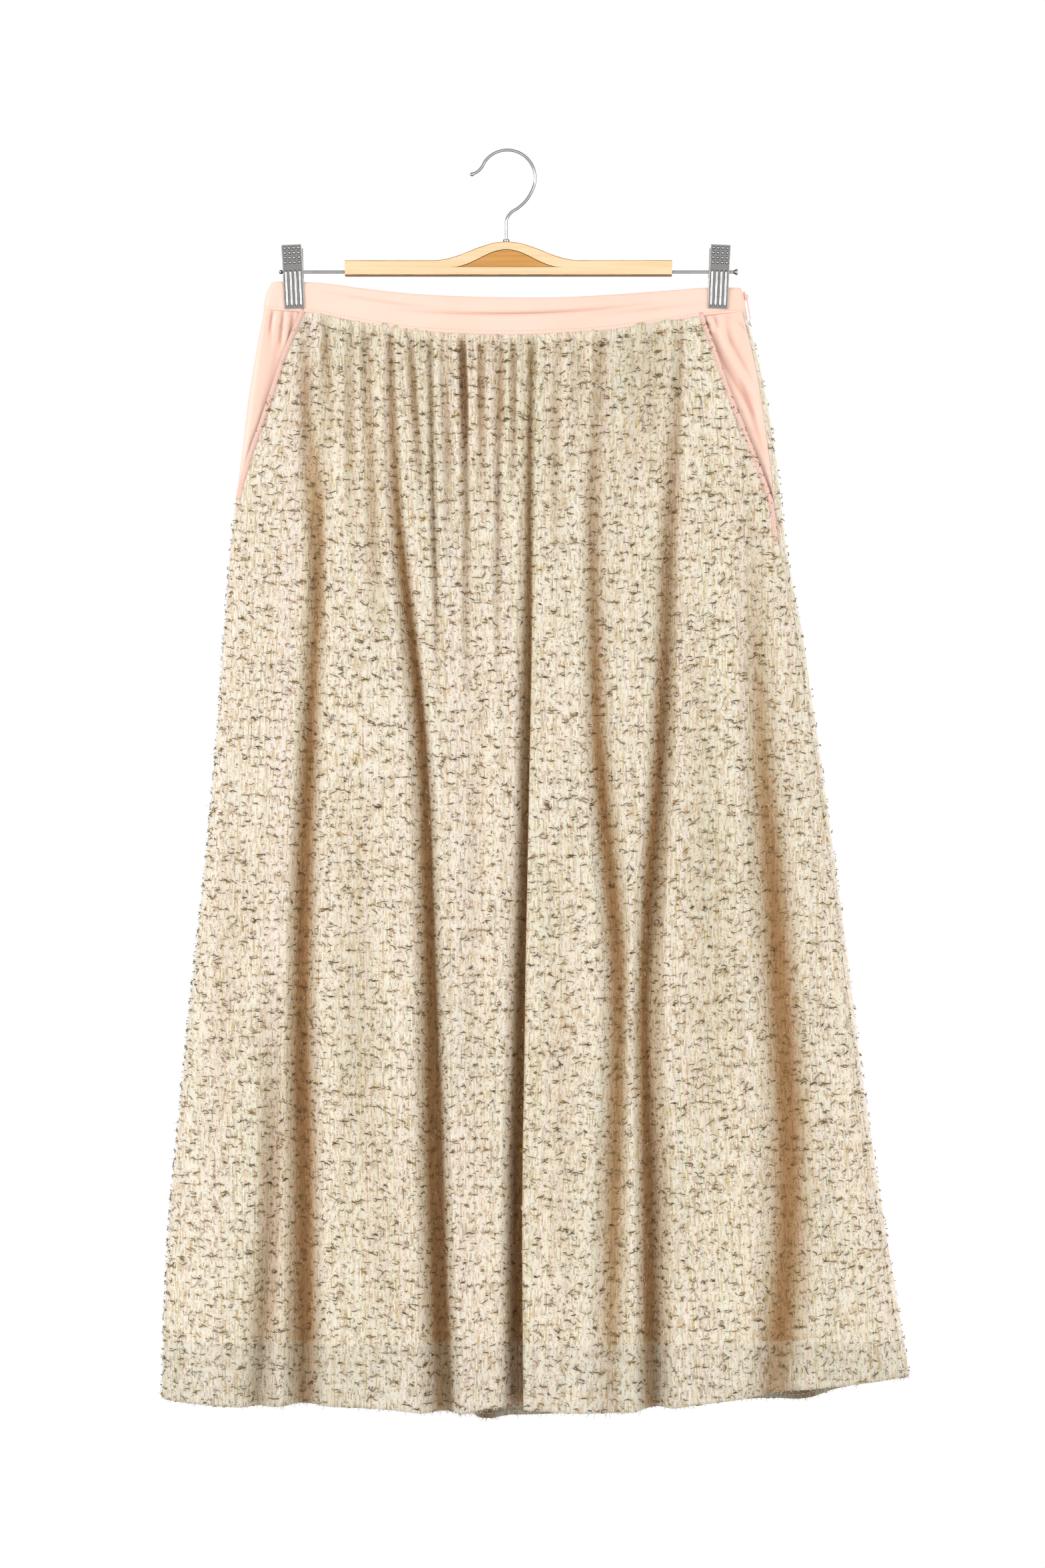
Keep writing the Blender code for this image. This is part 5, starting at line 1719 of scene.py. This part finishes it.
def bar_edges(material):
    """The dark lines of the bar's outline, on its front and back."""
    x = np.linspace(*BAR_ENDS, 80)
    u = np.clip((x - HUMP_CENTRE) / HUMP_HALF, -1, 1)
    top = BAR_TOP - HUMP_HEIGHT * np.cos(u * math.pi / 2) ** 2 + LINE_RADIUS * 0.8
    low = np.full_like(x, BAR_BOTTOM - LINE_RADIUS * 0.8)
    lines = []
    for side in (-1, 1):
        for drop in (top, low):
            y = np.full_like(x, side * (BAR_HALF - LINE_RADIUS * 0.75))
            line = np.stack([x, y, -drop], axis=1)
            lines.append(wire_mesh("line", line, np.full(len(x), LINE_RADIUS), material, 1))
    return joined(lines, "bar_edges", material)


class SKIRT_OT_hanger(bpy.types.Operator):
    """Make the wooden bar with its inlay, the hook and the rods"""

    bl_idname = "skirt.hanger"
    bl_label = "Hanger"

    def execute(self, context):
        look = context.scene.skirt_hanger
        pale = wood("pale wood", look.pale_wood, look.grain, look.caramel, look.edge)
        caramel = wood("caramel wood", look.caramel, look.caramel_grain, look.edge, look.edge)
        chrome = material_called("round chrome", chrome_with_painted_reflection, "round chrome", ROUND_SHINE)
        bar = rounded_copy("hanger_bar", "wooden_bar", look.bevel, pale, 4)
        finish(bar, "hanger_bar", slot="pale_wood")
        finish(bar_edges(material_called("stained edge", stained_edge)), slot="caramel_wood")
        inlay = rounded_copy("hanger_inlay", "wooden_inlay", look.bevel / 3, caramel)
        finish(inlay, "hanger_inlay", slot="caramel_wood")
        hook = wire_mesh("wire_hook", *hook_route(), chrome, 6)
        finish(hook, "hanger_hook", slot="chrome")
        ring = rounded_copy("hook_collar", "hook_ring", 0.0004, chrome)
        finish(ring, "hook_collar", slot="chrome")
        for side in ("left", "right"):
            rod = rounded_copy(f"rod_{side}", f"wire_rod_{side}", 0.0002, chrome, 2)
            finish(rod, f"rod_{side}", slot="chrome")
        return {"FINISHED"}


PLATE_TOP, PLATE_BOTTOM, GRIP_BOTTOM = 78.6, 130.4, 95.1
PLATE_WIDTH, PLATE_THICK, PLATE_AWAY, PLATE_FLARE = 16.5, 1.2, 6.2, 5.0
RIDGE_TOP, RIDGE_BOTTOM, RIDGE_RADIUS = 98.6, 128.9, 1.25
DOME_DROPS = (81.15, 84.95, 88.75, 92.55)
DOME_RADIUS = 1.45
RELIEF_COLUMNS = (-5.7, -1.9, 1.9, 5.7)
DOME_SUNK, RIDGE_SUNK = 0.35, 0.25
RidgeStation = namedtuple("RidgeStation", "share swell")
RIDGE_STATIONS = (
    *(RidgeStation(0, 0.25), RidgeStation(0.012, 0.7), RidgeStation(0.035, 0.93)),
    *(RidgeStation(0.07, 1), RidgeStation(0.93, 1)),
    *(RidgeStation(0.965, 0.93), RidgeStation(0.988, 0.7), RidgeStation(1, 0.25)),
)
JAW_LEAN = 0.045
SPRING_TURNS, SPRING_WIRE = 7, 0.55


def jaw_plate(name, material):
    """A plate whose grip is bent away from the band, upright at x = 0 and facing -y."""
    deselect()
    bpy.ops.mesh.primitive_cube_add(size=1)
    plate = bpy.context.active_object
    plate.name = name
    plate.scale = (PLATE_WIDTH * MM, PLATE_THICK * MM, (PLATE_BOTTOM - GRIP_BOTTOM) * MM)
    plate.location = (0, -PLATE_AWAY * MM, -(PLATE_BOTTOM + GRIP_BOTTOM) / 2 * MM)
    settle()
    bpy.ops.object.mode_set(mode="EDIT")
    bpy.ops.mesh.select_mode(type="FACE")
    bpy.ops.mesh.select_all(action="DESELECT")
    leave_edit()
    for face in plate.data.polygons:
        face.select = face.normal.z > 0.9
    bpy.ops.object.mode_set(mode="EDIT")
    bpy.ops.mesh.extrude_region_move(
        TRANSFORM_OT_translate={"value": (0, -PLATE_FLARE * MM, (GRIP_BOTTOM - PLATE_TOP) * MM)}
    )
    leave_edit()
    bevelled(plate, 0.4 * MM, 3, 30)
    smoothed(40)
    return coated(plate, material)


def jaw_relief(name, material):
    """Rows of domes on the grip and rounded ridges below them."""
    raised = []
    for drop in DOME_DROPS:
        flare = PLATE_FLARE * (GRIP_BOTTOM - drop) / (GRIP_BOTTOM - PLATE_TOP)
        y = -(PLATE_AWAY + PLATE_THICK / 2 + flare - DOME_SUNK)
        for x in RELIEF_COLUMNS:
            deselect()
            bpy.ops.mesh.primitive_uv_sphere_add(
                segments=14, ring_count=8, radius=DOME_RADIUS * MM,
                location=(x * MM, y * MM, -drop * MM),
            )
            bpy.ops.object.shade_smooth()
            raised.append(bpy.context.active_object)
    drops = mix(RIDGE_TOP, RIDGE_BOTTOM, column(RIDGE_STATIONS, "share"))
    radii = RIDGE_RADIUS * column(RIDGE_STATIONS, "swell")
    y = -(PLATE_AWAY + PLATE_THICK / 2 - RIDGE_SUNK)
    for x in RELIEF_COLUMNS:
        line = [(x, y, -drop) for drop in drops]
        raised.append(wire_mesh(f"ridge_{x}", line, radii, material, 3))
    return joined(raised, name, material)


def turned_jaw(piece, centre, lean, back):
    """Puts an upright jaw in its place: turned half round for the back, and leaning."""
    use_only(piece)
    middle = (PLATE_TOP + PLATE_BOTTOM) / 2 * MM
    piece.rotation_euler = (0, 0, math.pi if back else 0)
    settle()
    edit_all()
    bpy.ops.transform.rotate(value=lean, orient_axis="Y", center_override=(0, 0, -middle))
    bpy.ops.transform.translate(value=(centre * MM, 0, 0))
    leave_edit()
    return piece


def coil(side, material):
    """The spring of a clip, in its node's box."""
    low, high = (np.array(corner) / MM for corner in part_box(f"clip_{side}_spring"))
    share = np.linspace(0, 1, SPRING_TURNS * 16 + 1)
    radius = (high[2] - low[2]) / 2 - SPRING_WIRE
    x = mix(low[0] + SPRING_WIRE, high[0] - SPRING_WIRE, share)
    angle = share * SPRING_TURNS * 2 * math.pi
    route = np.stack([x, radius * np.cos(angle), radius * np.sin(angle) - ROD_DROP], axis=1)
    return wire_mesh(f"coil_{side}", route, np.full(len(route), SPRING_WIRE), material, 2)


class SKIRT_OT_clips(bpy.types.Operator):
    """Make the jaws and springs of the two clips"""

    bl_idname = "skirt.clips"
    bl_label = "Clips"

    def execute(self, context):
        flat = material_called("plate chrome", chrome_with_painted_reflection, "plate chrome", PLATE_SHINE)
        round_ = material_called("round chrome", chrome_with_painted_reflection, "round chrome", ROUND_SHINE)
        for side, centre, lean in (("left", CLIP_LEFT, JAW_LEAN), ("right", CLIP_RIGHT, -JAW_LEAN)):
            for face, back in (("front", False), ("back", True)):
                plate = jaw_plate(f"jaw_{side}_{face}", flat)
                finish(turned_jaw(plate, centre, lean, back), f"clip_{side}_{face}", slot="chrome")
                relief = jaw_relief(f"jaw_relief_{side}_{face}", round_)
                finish(turned_jaw(relief, centre, lean, back), slot="chrome")
            finish(coil(side, round_), f"clip_{side}_spring", slot="chrome")
        return {"FINISHED"}


class SKIRT_OT_zip(bpy.types.Operator):
    """Make the zip's slider and its pull"""

    bl_idname = "skirt.zip"
    bl_label = "Zip"

    def execute(self, context):
        lacquer = material_called("pink lacquer", pink_lacquer)
        slider = rounded_copy("zip_slider", "slider_body", 0.00025, lacquer)
        finish(slider, "zip_slider", slot="pink_lacquer")
        pull = rounded_copy("zip_pull", "pull_tab", 0.00025, lacquer)
        finish(pull, "zip_pull", slot="pink_lacquer", body="zip_pull")
        return {"FINISHED"}


Lamp = namedtuple("Lamp", "name place size power")
LAMPS = (
    Lamp("key", (-2.6, -1.7, 0.3), 1.3, 61),
    Lamp("fill", (2.6, -2.2, 0.2), 1.8, 46),
    Lamp("back", (2.4, 1.9, 0.4), 1.6, 40),
)


class SKIRT_OT_stage(bpy.types.Operator):
    """Set the floor, the studio light and the camera"""

    bl_idname = "skirt.stage"
    bl_label = "Studio"

    def execute(self, context):
        look = context.scene.skirt_stage
        deselect()
        bpy.ops.mesh.primitive_plane_add(size=3, location=(0, 0, -look.floor_drop))
        floor = context.active_object
        floor.name = "studio_floor"
        shade = darker(look.floor, 0.97)
        coated(floor, mottled("studio floor", look.floor, shade, 0.8, 3.0, 0.3, 0.8))
        aim = Vector((look.aim_x, 0, look.aim_z))
        for lamp in LAMPS:
            light = bpy.data.lights.new(lamp.name, "AREA")
            light.size = lamp.size
            light.energy = lamp.power
            placed = linked(lamp.name, light)
            placed.location = lamp.place
            direction = aim - placed.location
            placed.rotation_euler = direction.to_track_quat("-Z", "Y").to_euler()
        world = bpy.data.worlds.new("studio")
        context.scene.world = world
        world.use_nodes = True
        sky = world.node_tree.nodes["Background"]
        sky.inputs["Color"].default_value = (1, 1, 1, 1)
        sky.inputs["Strength"].default_value = 1.0
        context.scene.view_settings.view_transform = "Standard"
        lens = bpy.data.cameras.new("camera")
        lens.sensor_fit = "VERTICAL"
        lens.sensor_height = 36
        lens.lens = lens.sensor_height * look.camera_distance / look.view_height
        camera = linked("camera", lens)
        camera.location = (look.aim_x, -look.camera_distance, look.aim_z)
        camera.rotation_euler = (math.pi / 2, 0, 0)
        context.scene.camera = camera
        return {"FINISHED"}


class SKIRT_PT_panel(bpy.types.Panel):
    """Steps and settings of the skirt"""

    bl_idname = "SKIRT_PT_panel"
    bl_label = "Gathered Skirt"
    bl_space_type = "VIEW_3D"
    bl_region_type = "UI"
    bl_category = "Skirt"

    def draw(self, context):
        for step in STEPS:
            self.layout.operator(step.bl_idname)
        for holder, _ in GROUPS:
            box = self.layout.box()
            settings = getattr(context.scene, holder)
            for key in settings.__annotations__:
                box.prop(settings, key)


GROUPS = (
    ("skirt_cloth", SkirtCloth),
    ("skirt_trim", SkirtTrim),
    ("skirt_hanger", SkirtHanger),
    ("skirt_stage", SkirtStage),
)
STEPS = (
    SKIRT_OT_stage,
    SKIRT_OT_cloth,
    SKIRT_OT_seams,
    SKIRT_OT_threads,
    SKIRT_OT_waistband,
    SKIRT_OT_pockets,
    SKIRT_OT_lining,
    SKIRT_OT_hanger,
    SKIRT_OT_clips,
    SKIRT_OT_zip,
)


def register():
    for holder, group in GROUPS:
        bpy.utils.register_class(group)
        setattr(bpy.types.Scene, holder, bpy.props.PointerProperty(type=group))
    for kind in (*STEPS, SKIRT_PT_panel):
        bpy.utils.register_class(kind)


def unregister():
    for kind in reversed((*STEPS, SKIRT_PT_panel)):
        bpy.utils.unregister_class(kind)
    for holder, group in reversed(GROUPS):
        delattr(bpy.types.Scene, holder)
        bpy.utils.unregister_class(group)


def main():
    register()
    for step in STEPS:
        family, name = step.bl_idname.split(".")
        getattr(getattr(bpy.ops, family), name)()


if __name__ == "__main__":
    main()
